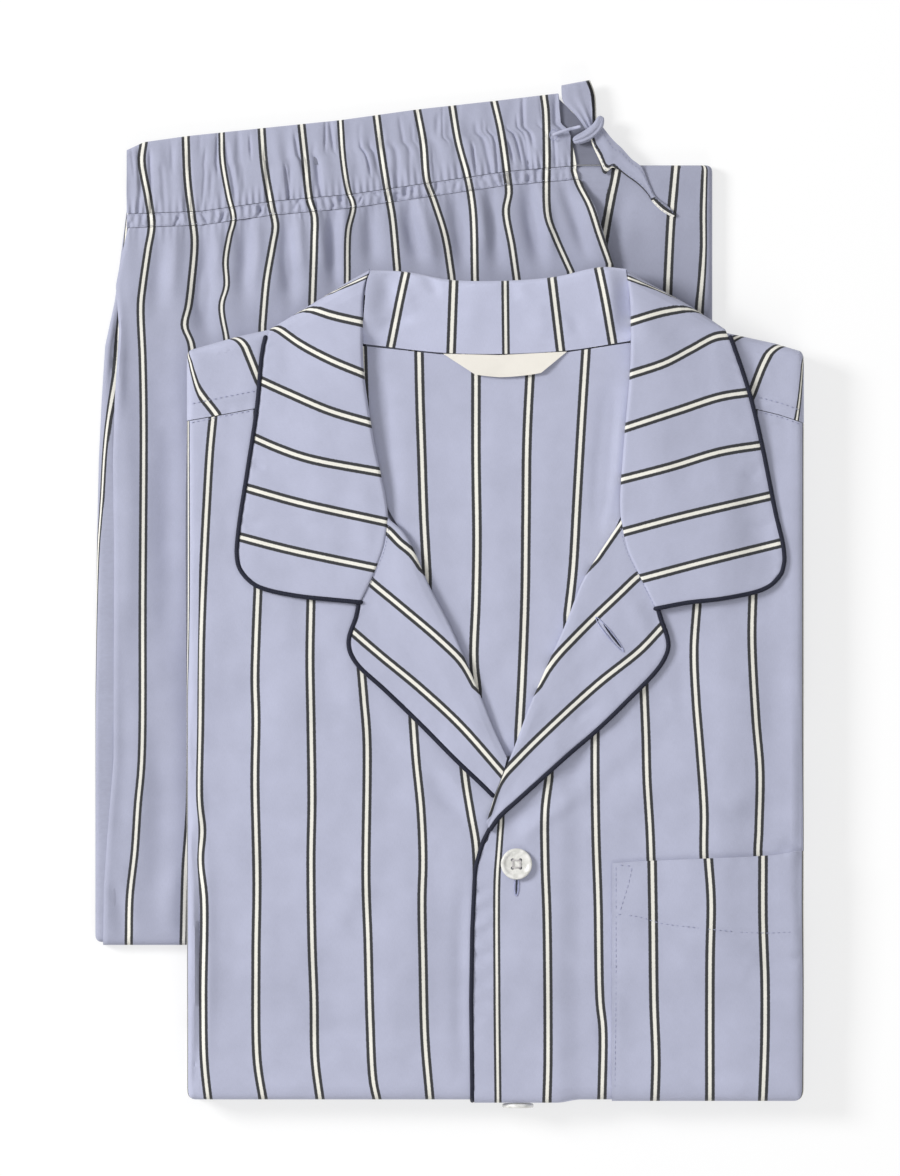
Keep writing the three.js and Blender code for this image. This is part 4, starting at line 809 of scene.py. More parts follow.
def stripe_group():
    """Charcoal, ivory and charcoal lines on a ground colour, from a phase that is whole on each stripe."""
    if "Yarn stripe" in bpy.data.node_groups:
        return bpy.data.node_groups["Yarn stripe"]
    tree, given, out = group(
        "Yarn stripe",
        [("Coordinates", "NodeSocketVector", (0, 0, 0)), ("Repeat mm", "NodeSocketFloat", 30.5),
         ("Ivory half width mm", "NodeSocketFloat", 1.2), ("Stripe half width mm", "NodeSocketFloat", 2.85),
         ("Ground", "NodeSocketColor", (0.4, 0.42, 0.6, 1)), ("Dark", "NodeSocketColor", (0.05, 0.05, 0.05, 1)),
         ("Light", "NodeSocketColor", (0.8, 0.8, 0.7, 1))],
        [("Color", "NodeSocketColor")],
    )
    nodes, links, calc = tree.nodes, tree.links, partial(math_node, tree)
    split = nodes.new("ShaderNodeSeparateXYZ")
    links.new(given.outputs["Coordinates"], split.inputs[0])
    fray = noise_over(tree, given.outputs["Coordinates"], 26.0, detail=4.0)
    wander = calc("MULTIPLY", calc("SUBTRACT", fray, 0.5), 0.012)
    phase = calc("ADD", split.outputs[0], wander)
    offset = calc("SUBTRACT", calc("FRACT", calc("ADD", phase, 0.5)), 0.5)
    distance = calc("MULTIPLY", calc("ABSOLUTE", offset), given.outputs["Repeat mm"])

    def inside(limit):
        """1 nearer than the limit, 0 further out, with a yarn's softness between."""
        beyond = calc("SUBTRACT", limit, distance)
        return calc("MULTIPLY_ADD", beyond, 3.2, 0.5, clamp=True)

    color = given.outputs["Ground"]
    for half_width, yarn in (("Stripe half width mm", "Dark"), ("Ivory half width mm", "Light")):
        mix = node(nodes, "ShaderNodeMix", data_type="RGBA")
        links.new(inside(given.outputs[half_width]), mix.inputs["Factor"])
        links.new(color, mix.inputs["A"])
        links.new(given.outputs[yarn], mix.inputs["B"])
        color = mix.outputs["Result"]
    links.new(color, out.inputs["Color"])
    return tree


def tone(color, share):
    return tuple(min(1, c * share) for c in color)


def new_material(name, roughness, sheen=0.0, coat=0.0, specular=0.35):
    material = bpy.data.materials.new(name)
    material.use_nodes = True
    shader = material.node_tree.nodes["Principled BSDF"]
    shader.inputs["Roughness"].default_value = roughness
    shader.inputs["Specular IOR Level"].default_value = specular
    shader.inputs["Sheen Weight"].default_value = sheen
    shader.inputs["Sheen Roughness"].default_value = 0.5
    shader.inputs["Coat Weight"].default_value = coat
    return material, material.node_tree, shader


def two_tone(tree, shader, factor, dark, light):
    """A base colour that varies from a dark tone to a light one."""
    base = node(tree.nodes, "ShaderNodeMix", data_type="RGBA")
    base.inputs["A"].default_value = (*dark, 1)
    base.inputs["B"].default_value = (*light, 1)
    tree.links.new(factor, base.inputs["Factor"])
    tree.links.new(base.outputs["Result"], shader.inputs["Base Color"])


def shaded(tree, color, shade, dark, light):
    """The colour made a little darker or lighter by a value that varies over the cloth: the yarn's own tone and broad
    patches of painted shade.
    """
    spread = tree.nodes.new("ShaderNodeMapRange")
    spread.inputs["To Min"].default_value = dark
    spread.inputs["To Max"].default_value = light
    tree.links.new(shade, spread.inputs["Value"])
    scale = node(tree.nodes, "ShaderNodeMix", data_type="RGBA", blend_type="MULTIPLY")
    scale.inputs["Factor"].default_value = 1.0
    tree.links.new(color, scale.inputs["A"])
    tree.links.new(spread.outputs["Result"], scale.inputs["B"])
    return scale.outputs["Result"]


def bump_to(tree, shader, height, strength, distance):
    bump = tree.nodes.new("ShaderNodeBump")
    bump.inputs["Strength"].default_value = strength
    bump.inputs["Distance"].default_value = distance
    tree.links.new(height, bump.inputs["Height"])
    tree.links.new(bump.outputs["Normal"], shader.inputs["Normal"])


# The striped cloth in each place: its material's name, the painted light or shade of its ground against the jacket's,
# and its slub
# All one cloth: the stand's ground is painted lighter, and the folds, the trousers, the under leg and the strip behind
# the band are painted darker as shade
STRIPED = {
    "jacket": ("Striped poplin", 1.0, 0.75),
    "stand": ("Striped poplin painted lighter for the stand", 1.14, 0.75),
    "fold": ("Striped poplin painted in shade inside the fold", 0.8, 0.75),
    "trousers": ("Striped poplin painted in shade for the trousers", 0.85, 0.85),
    "under_leg": ("Striped poplin painted in shade for the under leg", 0.79, 0.85),
    "behind_band": ("Striped poplin painted in deep shade behind the band", 0.42, 0.75),
}


def striped_cloth(place):
    name, painted_light_share, slub = STRIPED[place]
    if name in bpy.data.materials:
        return bpy.data.materials[name]
    p = settings()
    material, tree, shader = new_material(name, 0.82, sheen=0.18, specular=0.25)
    uv = node(tree.nodes, "ShaderNodeUVMap", uv_map="Cloth")
    stripe = node(tree.nodes, "ShaderNodeGroup", node_tree=stripe_group())
    stripe.inputs["Repeat mm"].default_value = p.stripe_repeat / MM
    stripe.inputs["Ivory half width mm"].default_value = p.ivory_width / MM / 2
    stripe.inputs["Stripe half width mm"].default_value = p.stripe_width / MM / 2
    # The ground is toned here to paint light or shade on the same cloth
    stripe.inputs["Ground"].default_value = (*tone(p.ground, painted_light_share), 1)
    stripe.inputs["Dark"].default_value = (*p.charcoal, 1)
    stripe.inputs["Light"].default_value = (*p.ivory, 1)
    weave = node(tree.nodes, "ShaderNodeGroup", node_tree=weave_group())
    weave.inputs["Threads"].default_value = 88.0
    weave.inputs["Slub"].default_value = slub
    tree.links.new(uv.outputs["UV"], stripe.inputs["Coordinates"])
    tree.links.new(uv.outputs["UV"], weave.inputs["Coordinates"])
    color = shaded(tree, stripe.outputs["Color"], weave.outputs["Shade"], 0.8, 1.2)
    tree.links.new(color, shader.inputs["Base Color"])
    bump_to(tree, shader, weave.outputs["Height"], 0.35, 0.00012)
    return material


def plain_fabric(name, color, roughness, threads, slub, strength, sheen=0.1, twist=None):
    """A one-coloured woven or corded finish."""
    if name in bpy.data.materials:
        return bpy.data.materials[name]
    material, tree, shader = new_material(name, roughness, sheen=sheen)
    uv = node(tree.nodes, "ShaderNodeUVMap", uv_map="Cloth")
    weave = node(tree.nodes, "ShaderNodeGroup", node_tree=weave_group())
    weave.inputs["Threads"].default_value = threads
    weave.inputs["Slub"].default_value = slub
    tree.links.new(uv.outputs["UV"], weave.inputs["Coordinates"])
    two_tone(tree, shader, weave.outputs["Shade"], tone(color, 0.86), tone(color, 1.12))
    height = weave.outputs["Height"]
    if twist:
        calc = partial(math_node, tree)
        split = tree.nodes.new("ShaderNodeSeparateXYZ")
        tree.links.new(uv.outputs["UV"], split.inputs[0])
        ribs = calc("ADD", calc("MULTIPLY", split.outputs[0], 2 * math.pi),
                    calc("MULTIPLY", split.outputs[1], 2 * math.pi * twist))
        height = calc("ADD", calc("SINE", ribs), height)
    bump_to(tree, shader, height, strength, 0.00015)
    return material


def thread_material(name, color):
    if name in bpy.data.materials:
        return bpy.data.materials[name]
    material, tree, shader = new_material(name, 0.62, sheen=0.1)
    coordinates = tree.nodes.new("ShaderNodeTexCoord")
    twist = noise_over(tree, coordinates.outputs["Object"], 900.0)
    two_tone(tree, shader, twist, tone(color, 0.85), tone(color, 1.12))
    bump_to(tree, shader, twist, 0.3, 0.0001)
    return material


def sewing_thread():
    return thread_material("Sewing thread", settings().thread)


def pearl_material():
    if "Mother-of-pearl" in bpy.data.materials:
        return bpy.data.materials["Mother-of-pearl"]
    material, tree, shader = new_material("Mother-of-pearl", 0.22, coat=0.35, specular=0.5)
    coordinates = tree.nodes.new("ShaderNodeTexCoord")
    cloud = noise_over(tree, coordinates.outputs["Object"], 160.0, detail=3.0, distortion=1.2)
    ramp = node(tree.nodes, "ShaderNodeValToRGB")
    dark, light = ramp.color_ramp.elements
    dark.color, dark.position = (0.60, 0.60, 0.56, 1), 0.3
    light.color, light.position = (0.86, 0.85, 0.82, 1), 0.62
    tree.links.new(cloud, ramp.inputs["Fac"])
    tree.links.new(ramp.outputs["Color"], shader.inputs["Base Color"])
    bump_to(tree, shader, cloud, 0.08, 0.0002)
    return material


def piping_material():
    return plain_fabric("Piping satin", settings().piping, 0.6, 40.0, 0.3, 0.5, sheen=0.05, twist=7.0)


# A near-black finish that paints the shade inside a buttonhole's slit
def painted_shade_gap_material():
    return plain_fabric("Painted shade in a buttonhole gap", (0.02, 0.022, 0.035), 0.9, 60.0, 0.3, 0.2)


def sew_cloth(name, node_name, place, grid, uv, rests_on, thick=CLOTH_THICK, inner=None, **cut):
    """A piece of the striped cloth, from the grid of its outer face."""
    obj = cloth_piece(name, grid, uv, thick, inner)
    return finish_cloth(obj, node_name, striped_cloth(place), grid, rests_on, **cut)


# ---------------------------------------------------------------- trousers

def layered_side(name, top, loops, under, uv_for):
    """A folded stack: its upper grid, loops of points down its layered side, and a flat underside."""
    rows, columns = top.shape[:2]
    order = [r * columns + c for r, c in rim(rows, columns)]
    flat_top = top.reshape(-1, 3)
    foot = under.reshape(-1, 3)
    points = [flat_top, foot]
    start = len(flat_top) + len(foot)
    faces = [grid_faces(rows, columns), grid_faces(rows, columns, len(flat_top))[:, ::-1]]
    previous = np.array(order)
    for loop in loops:
        points.append(loop)
        current = np.arange(start, start + len(loop))
        start += len(loop)
        faces.append(np.stack([previous, np.roll(previous, -1), np.roll(current, -1), current], 1))
        previous = current
    last = np.array(order) + len(flat_top)
    faces.append(np.stack([previous, np.roll(previous, -1), np.roll(last, -1), last], 1))
    points = np.concatenate(points)
    return make_mesh(name, points, np.concatenate(faces), uv_for(points), sharp=60)


def layer_profile(layers, seed, deepest=2.4):
    """Rows down a stack's side: how far down, as a share, and how far in the cloth lies there."""
    rng = np.random.default_rng(seed)
    rows = []
    for k in range(layers):
        out = rng.uniform(0.1, 1.1)
        for t in (0.03, 0.12, 0.3, 0.5, 0.7, 0.88, 0.97):
            bulge = math.sqrt(max(0.0, 1 - (2 * t - 1) ** 2))
            rows.append(((k + t) / layers, out + deepest * (1 - bulge)))
    return rows


def loop_of(grid, order):
    return np.array([grid[r, c] for r, c in order])


def leg_sheet(depth, wide):
    """The folded leg's upper face at a depth below the outer cloth, rolled down at its edges, and its unrolled x."""
    inset, corner, drop, unroll = arc(*LEG_FOLD, depth=depth)
    columns, rows = int((TROUSER_RIGHT - JACKET_LEFT + 50) / wide), int(430 / wide)
    share = np.linspace(0, 1, columns)[1:-1]
    rows_y = np.linspace(LEG_TOP_EDGE - 6, TROUSER_BOTTOM + 8, rows)[1:-1]
    foot = TROUSER_BOTTOM + 1.7
    ys = np.concatenate([LEG_TOP_EDGE - inset, rows_y, (foot + inset)[::-1]])
    row_corner = np.concatenate([corner, np.zeros(len(rows_y)), corner[::-1]])
    row_drop = np.concatenate([drop, np.full(len(rows_y), depth), drop[::-1]])
    col_drop = np.concatenate([drop, np.full(len(share), depth), drop[::-1]])
    left = table(LEG_SIDE, ys)[:, None] + inset[None, :] + row_corner[:, None]
    right = TROUSER_RIGHT - inset[None, ::-1] - row_corner[:, None]
    a, b = left[:, -1:], right[:, :1]
    x = np.concatenate([left, a + (b - a) * share[None, :], right], 1)
    y = np.repeat(ys[:, None], x.shape[1], 1)
    z = TROUSER_BACK_TOP - np.maximum(row_drop[:, None], col_drop[None, :])
    flat_x = x.copy()
    flat_x[:, :len(inset)] -= unroll[None, :]
    flat_x[:, -len(inset):] += unroll[None, ::-1]
    return np.stack([x, y, z], -1), flat_x


def make_trouser_back():
    """The under leg, which shows beside the trouser front."""
    grid, flat_x = leg_sheet(0.0, wide=3.0)
    x, y = grid[..., 0], grid[..., 1]
    depth = settings().crease_depth
    inside = smooth((x - table(LEG_SIDE, y)) / 8) * smooth((TROUSER_RIGHT - x) / 8) * smooth((LEG_TOP_EDGE - y) / 8)
    covered = smooth((x - table(FRONT_SIDE, y) - 6) / 6) * smooth((table(FRONT_RIGHT_SIDE, y) - 6 - x) / 6)
    # Where the front covers it, the leg lies lower
    grid[..., 2] -= 3 * covered * inside
    relief = crease_height("under_leg", x, y, depth) + softness(x, y, 61) * 0.5 * depth
    grid[..., 2] += relief * (0.15 + 0.85 * inside)
    return sew_cloth("TrouserUnderLeg", "trouser_back", "under_leg", grid,
                     cloth_uv("trouser_back", flat_x, y), ["trouser_legs_folded"])


def make_trouser_legs():
    """The folded legs under all the rest, with their layered sides."""
    wide = 18.0
    top, _ = leg_sheet(4.4, wide)
    order = rim(*top.shape[:2])
    edge = TROUSER_BACK_TOP - LEG_FOLD[1]
    loops = []
    for down, inset in layer_profile(2, 5, deepest=1.3):
        loop = loop_of(leg_sheet(min(inset, 3.6), wide)[0], order)
        loop[:, 2] = edge * (1 - down)
        loops.append(loop)
    under, _ = leg_sheet(2.8, wide)
    under[..., 2] = 0
    obj = layered_side("TrouserFoldedLegs", top, loops, under,
                       lambda p: cloth_uv("trouser_back", p[:, 0] - 2.5 * p[:, 2], p[:, 1]))
    return finish_cloth(obj, "trouser_legs_folded", striped_cloth("fold"), top, ["stage_floor"], slot="hidden_cloth")


def front_gathers(x, y, foot):
    """Gathers that run down from the waistband and merge into broad soft folds."""
    down = foot - y
    below = np.maximum(down, 0)
    fine = 0.8 * np.sin(x * 2 * np.pi / 3.7 + 2.6 * lattice_noise(x, x * 0, 13, 9, 71)) * np.exp(-below / 6)
    uneven = 0.9 * lattice_noise(x, y, 5.5, 34, 72) * np.exp(-below / 24)
    broad = 0.5 * lattice_noise(x, y, 12, 60, 73) * np.exp(-below / 70)
    return fine * (0.55 + 0.45 * lattice_noise(x, x * 0, 9, 9, 74)) + uneven + broad


def make_trouser_front():
    columns, rows = 216, 190
    share = np.linspace(0, 1, columns)
    inset, _, drop, unroll = (values[::-1][1:] for values in arc(*FRONT_FOLD))
    down = np.linspace(0, 1, rows)
    ys = np.concatenate([(TROUSER_BOTTOM + FRONT_FOLD[0]) * down + FRONT_HEAD * (1 - down), TROUSER_BOTTOM + inset])
    drops = np.concatenate([np.zeros(rows), drop])
    hem = np.concatenate([np.zeros(rows), unroll])
    lift = smooth((ys - 150) / 55)
    left, right = table(FRONT_SIDE, ys), table(FRONT_RIGHT_SIDE, ys + 25 * lift)
    x = left[:, None] + (right - left)[:, None] * share[None, :]
    foot = table(CASING_FOOT, x)
    y = ys[:, None] + lift[:, None] * (foot - 0.4 - FRONT_HEAD)
    depth = settings().crease_depth
    creases = 1.6 * crease_height("trousers", x, y, depth)
    relief = front_gathers(x, y, foot) * smooth((foot - y) / 3 + 0.4) + np.maximum(creases, -3.6)
    z = trouser_top(y) - drops[:, None] + (relief + softness(x, y, 41) * depth) * smooth((y - TROUSER_BOTTOM) / 7)
    # The free edge beside the casing stands up
    z = z + 4.6 * (smooth((x - right[:, None] + 24) / 24) * smooth((y - 172) / 18) * smooth((foot - y - 2) / 22))
    z -= 1.1 * rounded_off(x - left[:, None], 2.2)
    grid = np.stack([x, y, z], -1)
    return sew_cloth("TrouserFront", "trouser_front", "trousers", grid,
                     cloth_uv("trouser_front", x, y - hem[:, None]), ["trouser_back"])


def gather_folds(count, length, seed):
    """Folds of a gathered strip: place, slant, width and depth across it, and where each begins and ends."""
    rng = np.random.default_rng(seed)
    place = (np.arange(count) + rng.uniform(0.1, 0.9, count)) / max(count, 1)
    slant = rng.uniform(-5, 5, count) / length
    width = rng.uniform(0.7, 1.7, count) / length
    depth = rng.uniform(0.35, 1.7, count)
    start = rng.uniform(-0.4, 0.5, count)
    return np.stack([place, slant, width, depth, start, start + rng.uniform(0.45, 1.1, count)], 1)


def band(name, node_name, rows, waves, columns, height, seed, folds, fuller, hem=0.0):
    """A gathered strip of the waistband. Its rows give the y where the right edge is read, the row's own line,
    how full it is and how far it drops; hem is the height of the fine ripples at its foot."""
    grid = np.zeros((len(rows), columns, 3))
    share = np.linspace(0, 1, columns)
    for i, (around, place, full, drop) in enumerate(rows):
        t = i / (len(rows) - 1)
        x = CASING_HEAD[0][0] + (table(CASING_RIGHT, around) - CASING_HEAD[0][0]) * share
        y = place(table(CASING_FOOT, x), table(CASING_HEAD, x))
        wobble = 2.8 * lattice_noise(x, x * 0 + i * 0.4, 15, 12, seed)
        wave = np.sin(share * 2 * np.pi * waves + wobble)
        uneven = 0.5 + 0.5 * lattice_noise(x, x * 0 + i * 0.6, 10, 10, seed + 1)
        z = trouser_top(y) - drop + height * full * uneven * wave
        fine = 0.5 + 0.5 * lattice_noise(x, x * 0 + i * 0.5, 9, 10, seed + 3)
        ripple = np.sin(share * 2 * np.pi * 66 + 2.4 * lattice_noise(x, x * 0, 13, 9, seed + 2))
        z += hem * fine * ripple * smooth((t - 0.7) / 0.3)
        for at, slant, width, depth, start, end in folds:
            strength = smooth((t - start) / 0.2) * smooth((end - t) / 0.2) * min(1.0, full * 1.4)
            z -= depth * strength * bell(share - at - slant * t, width)
        grid[i] = np.stack([x, y, z], -1)
    obj = cloth_piece(name, grid, cloth_uv("trouser_front", grid[..., 0], grid[..., 1]), thick=0.8)
    return finish_cloth(obj, node_name, striped_cloth("trousers"), grid, ["trouser_back_waist"], fuller=fuller,
                        held="gathered")


def make_casing():
    rows = []
    for t in np.linspace(0, 1, 34):
        around = CASING_READS[0] + (CASING_READS[1] - CASING_READS[0]) * t
        full = 0.45 + 0.55 * smooth(t / 0.4) if t < 0.8 else 1 - 0.5 * smooth((t - 0.8) / 0.2)
        drop = 1.5 * (1 - math.sqrt(1 - (1 - min(t / 0.06, 1)) ** 2)) + 0.4 * smooth((t - 0.93) / 0.07)

        def place(foot, head, t=t):
            return head + (foot + RUFFLE_WIDTH + 0.2 - head) * t

        rows.append((around, place, float(full), float(drop)))
    folds = gather_folds(58, 250, seed=52)
    return band("WaistbandCasing", "waistband_casing", rows, waves=21, columns=560, height=0.85, seed=51, folds=folds,
                fuller=1.1, hem=0.7)


def make_ruffle():
    rows = []
    for t in np.linspace(0, 1, 11):
        full = 0.4 + 0.6 * math.sin(math.pi * min(max(t, 0.02), 0.98))

        def place(foot, _, t=t):
            return foot + RUFFLE_WIDTH * (1 - t) - 0.1

        around = CASING_READS[1] - RUFFLE_READ_FALL * t
        rows.append((around, place, full, 0.45 - 0.4 * math.sin(math.pi * t)))
    folds = gather_folds(44, 250, seed=58)
    return band("WaistbandRuffle", "waistband_ruffle", rows, waves=56, columns=RUFFLE_COLUMNS, height=0.85, seed=57,
                folds=folds, fuller=1.0)


def make_back_waist():
    columns = np.linspace(-180.2, 98, 140)
    rows = np.linspace(1, 0, 12)

    def face(inset, height):
        y_head = table(BACK_WAIST_HEAD, columns) - inset
        x = columns.copy()
        x[0] += inset
        x[-1] -= inset
        y = LEG_TOP_EDGE + GAP + (y_head - LEG_TOP_EDGE - GAP)[None, :] * rows[:, None]
        top = trouser_top(y) - 1.8
        fold = 0.5 * lattice_noise(x, x * 0, 9, 9, 81)[None, :] * (height > 0.5)
        return np.stack([np.repeat(x[None, :], len(rows), 0), y, height * top + fold * height], -1)

    top = face(0.9, 1.0)
    order = rim(*top.shape[:2])
    loops = []
    for down, inset in layer_profile(2, 6, deepest=1.2):
        grid = face(min(inset, 1.6), 0.92 - 0.9 * down)
        loops.append(loop_of(grid, order))
    under = face(1.0, 0.0)
    under[..., 2] = 0
    obj = layered_side("TrouserBackWaist", top, loops, under,
                       lambda p: np.stack([20.4 + 0.02 * np.sin(p[:, 0] / 20), p[:, 1] / PLAIN_REPEAT], 1))
    # The strip behind the band has its ground painted in deep shade
    return finish_cloth(obj, "trouser_back_waist", striped_cloth("behind_band"), top, ["stage_floor"],
                        slot="hidden_cloth")


def sew(name, runs, thread, **size):
    return finish_trim(stitches(name, runs, **size), thread)


# ---------------------------------------------------------------- tie

TIE_LOOP_LEFT = [(77, 260.5), (74.2, 264.6), (69.5, 270.2), (64, 275.8), (62.8, 285)]
TIE_LOOP_RIGHT = [(82.6, 263.5), (82.5, 268), (82.4, 273), (81.6, 280.6), (78.8, 288)]
# The two edges of the tie's free end, point against point from the knot to the rolled tip
TIE_END_UPPER = [
    (84.3, 263.8), (87.5, 259.6), (90.4, 255.9), (93.5, 252.6), (96.6, 249.8), (102.2, 243.6), (107.6, 239.2),
    (112, 229.6), (115.6, 222.6), (122.1, 217.5), (127.2, 212.6),
]
TIE_END_LOWER = [
    (78.1, 257.6), (80.9, 249.8), (83.6, 244), (87, 235), (91.6, 238.8), (100, 233.5), (106.7, 228.5),
    (111.4, 223.4), (113.8, 219.6), (119.3, 214.3), (125.4, 210.8),
]


def make_tie_loop():
    """The bow's loop: the tape runs up, folds over at the top and comes back over itself."""
    left, right = Line(TIE_LOOP_LEFT), Line(TIE_LOOP_RIGHT)
    turn = np.linspace(0, 1, 41)
    along = np.interp(turn, [0, 0.42, 0.5, 0.58, 1], [0, 0.97, 1, 0.97, 0])
    z = np.interp(turn, [0, 0.2, 0.42, 0.46, 0.5, 0.54, 0.58, 0.8, 1],
                  [6.6, 6.4, 6.5, 6.9, 8.0, 9.3, 9.9, 10.7, 10.0])
    u = np.linspace(0, 1, 14)
    narrower = np.where(turn > 0.5, 0.2 * (1 - along) + 0.08, 0)
    start, end = left.at(along), right.at(along)
    share = u[None, :] * (1 - narrower[:, None])
    xy = start[:, None, :] + (end - start)[:, None, :] * share[..., None]
    lift = 0.7 * np.sin(np.pi * u)[None, :] + 0.75 * np.sin(4 * np.pi * u)[None, :] * (1 - along)[:, None]
    lift = lift - 1.1 * bell(u - 0.7, 0.09)[None, :] * (1 - 0.8 * along)[:, None]
    grid = np.concatenate([xy, (z[:, None] + lift)[..., None]], -1)
    inner = grid - normals_of(grid, rows=slice(-8, None)) * FINE_CLOTH
    repeat = stripe_repeat()
    phase = 20 + (share - 1.02) * np.linalg.norm(end - start, axis=1)[:, None] / repeat
    uv = np.stack([phase, grid[..., 1] / repeat], -1)
    return sew_cloth("TieLoop", "tie_loop", "trousers", grid, uv, ["tie_knot"], inner=inner)


def make_tie_knot():
    """The wrap of tape round the knot, as a bent, folded pad."""
    rings, sides = 32, 44
    half_wide, half_high, level = 3.1, 3.9, 10.9
    points, uvs = [], []
    line = Line([(69.4, 253.4), (77, 256.4), (82.8, 261.4), (85.4, 267.6)])
    t = 0.5 - 0.5 * np.cos(np.pi * (np.arange(rings) + 0.5) / rings)
    centre = line.at(t)
    along = np.gradient(centre, axis=0)
    along /= np.linalg.norm(along, axis=1, keepdims=True)
    size = np.sin(np.pi * (np.arange(rings) + 0.5) / rings) ** 0.6
    for i in range(rings):
        for j in range(sides):
            turn = 2 * np.pi * j / sides
            fold = 1 + 0.11 * math.cos(5 * turn + 1.5 * t[i]) + 0.05 * math.cos(9 * turn - 2 * t[i])
            across, up = half_wide * size[i] * fold * math.cos(turn), half_high * size[i] * fold * math.sin(turn)
            points.append((centre[i, 0] - along[i, 1] * across, centre[i, 1] + along[i, 0] * across, up + level))
            uvs.append((20.3 + 0.1 * t[i], 0.4 * math.cos(turn)))
    faces = ring_faces(rings, sides)
    faces += [tuple(range(sides)), tuple(range((rings - 1) * sides, rings * sides))[::-1]]
    mesh = mesh_from("TieKnot", points, [face[::-1] for face in faces])
    lay_pattern(mesh, uvs)
    mesh.shade_smooth()
    obj = place_object("TieKnot", mesh)
    finish_trim(obj, striped_cloth("trousers"), "tie_knot")
    return obj


def make_tie_end():
    """The free end, between its two edges, with its two rows of stitches."""
    upper, lower = Line(TIE_END_UPPER), Line(TIE_END_LOWER)
    v, u = np.linspace(0, 1, 81), np.linspace(0, 1, 16)
    steps = len(TIE_END_UPPER) - 1

    def along(line):
        marks = [line.share[min(SPAN_STEPS * k, len(line.share) - 1)] for k in range(steps + 1)]
        return line.at(np.interp(v * steps, np.arange(steps + 1), marks))

    a, b = along(lower), along(upper)
    xy = a[:, None, :] + (b - a)[:, None, :] * u[None, :, None]
    arch, flattening = np.sin(np.pi * u)[None, :], (1 - v)[:, None]
    z = 10.6 + 0.9 * arch * flattening + 0.35 * np.sin(3 * np.pi * u + 1)[None, :] * flattening
    z = z - 0.35 * smooth((v - 0.55) / 0.45)[:, None] + 0.9 * smooth((v - 0.78) / 0.05)[:, None] * arch
    grid = np.concatenate([xy, z[..., None]], -1)
    repeat = stripe_repeat()
    across = np.linalg.norm(b - a, axis=1)[:, None] * u[None, :]
    # How far from the lower edge the stripe's centre lies, along the tape
    centre = np.interp(v, [0, 0.1, 0.2, 0.3, 0.38, 0.44, 0.77, 0.8, 1],
                       [0.2, 0, 0.9, 2.9, 0.2, -1.9, -1.9, 0.3, 0.3])[:, None]
    uv = np.stack([20 + (across - centre) / repeat, (v * 62)[:, None] / repeat + 0 * across], -1)
    obj = cloth_piece("TieEnd", grid, uv, thick=FINE_CLOTH)
    finish_cloth(obj, "tie_end", striped_cloth("trousers"), grid, ["trouser_back"])
    runs = [grid[2:-1, int(share * 15)] + [0, 0, 0.12] for share in (0.14, 0.86)]
    sew("TieStitching", runs, sewing_thread(), pitch=2.4, length=1.7, wide=0.35, high=0.25)
    return obj


def make_tie_strand():
    """The short strand that leaves the casing through a stitched eyelet."""
    path = Line([(58.6, 257.2, 11.1), (62, 258.6, 11.6), (66, 259.9, 11.7), (69.5, 260.8, 11.2), (73, 261.6, 12.6)])
    strand = tube("TieStrand", path.spaced(0.6), 0.95, sides=12, flatten=0.8)
    eyelet, marks = [], 26
    for k in range(marks):
        a = 2 * math.pi * k / marks
        eyelet.append((58.4 + 2.1 * math.cos(a), 257.0 + 3.0 * math.sin(a), 10.9 + 0.1 * math.sin(3 * a)))
    eyelet.append(eyelet[0])
    finish_trim(strand, plain_fabric("Tie tape", settings().ground, 0.8, 8.0, 0.5, 0.4, twist=1.0), "tie_strand")
    sew("TieEyelet", [np.array(eyelet)], sewing_thread(), pitch=0.62, length=1.5, wide=0.5, high=0.5)
    return strand


# ---------------------------------------------------------------- jacket body and panels

def rolled(free, side, row_corner, fold):
    """Free columns with the rolled edge beside them: x, the drop of each column and how far it unrolls."""
    inset, _, drop, unroll = fold
    level = np.zeros(free.shape[1])
    if side == "left":
        x = np.concatenate([JACKET_LEFT + inset[None, :] + row_corner, free], 1)
        return x, np.concatenate([drop, level]), np.concatenate([-unroll, level])
    x = np.concatenate([free, JACKET_RIGHT - inset[None, ::-1] - row_corner], 1)
    return x, np.concatenate([level, drop[::-1]]), np.concatenate([level, unroll[::-1]])


def jacket_sheet(x_free, top_y, side):
    """A front of the jacket: free columns as x for a row's y, rolled over the left or the right edge, and rows down
    to the lower fold. Gives x, y, the drop and the unrolled x."""
    fold = arc(*JACKET_FOLD)
    inset, corner, drop, _ = fold
    y_rows = np.linspace(top_y, LOWER_ROLL, 190)
    ys = np.concatenate([y_rows, (JACKET_BOTTOM + inset)[::-1]])
    row_corner = np.concatenate([np.zeros(len(y_rows)), corner[::-1]])[:, None]
    row_drop = np.concatenate([np.zeros(len(y_rows)), drop[::-1]])[:, None]
    free = x_free(ys)
    first, last = free[:, :1], free[:, -1:]
    # The columns nearest the rolled edge follow the corner
    if side == "left":
        free = free + row_corner * ((last - free) / (last - first)) ** 6
    else:
        free = free - row_corner * ((free - first) / (last - first)) ** 6
    x, col_drop, flat = rolled(free, side, row_corner, fold)
    y = np.repeat(ys[:, None], x.shape[1], 1)
    return x, y, np.maximum(row_drop, col_drop[None, :]), x + flat[None, :]


def follow_seam(y, x, seam, until, gap):
    """Moves the upper rows so that the first one follows a seam."""
    start = y[0, 0]
    return y + smooth((y - until) / (start - until)) * (table(seam, x) + gap - start)


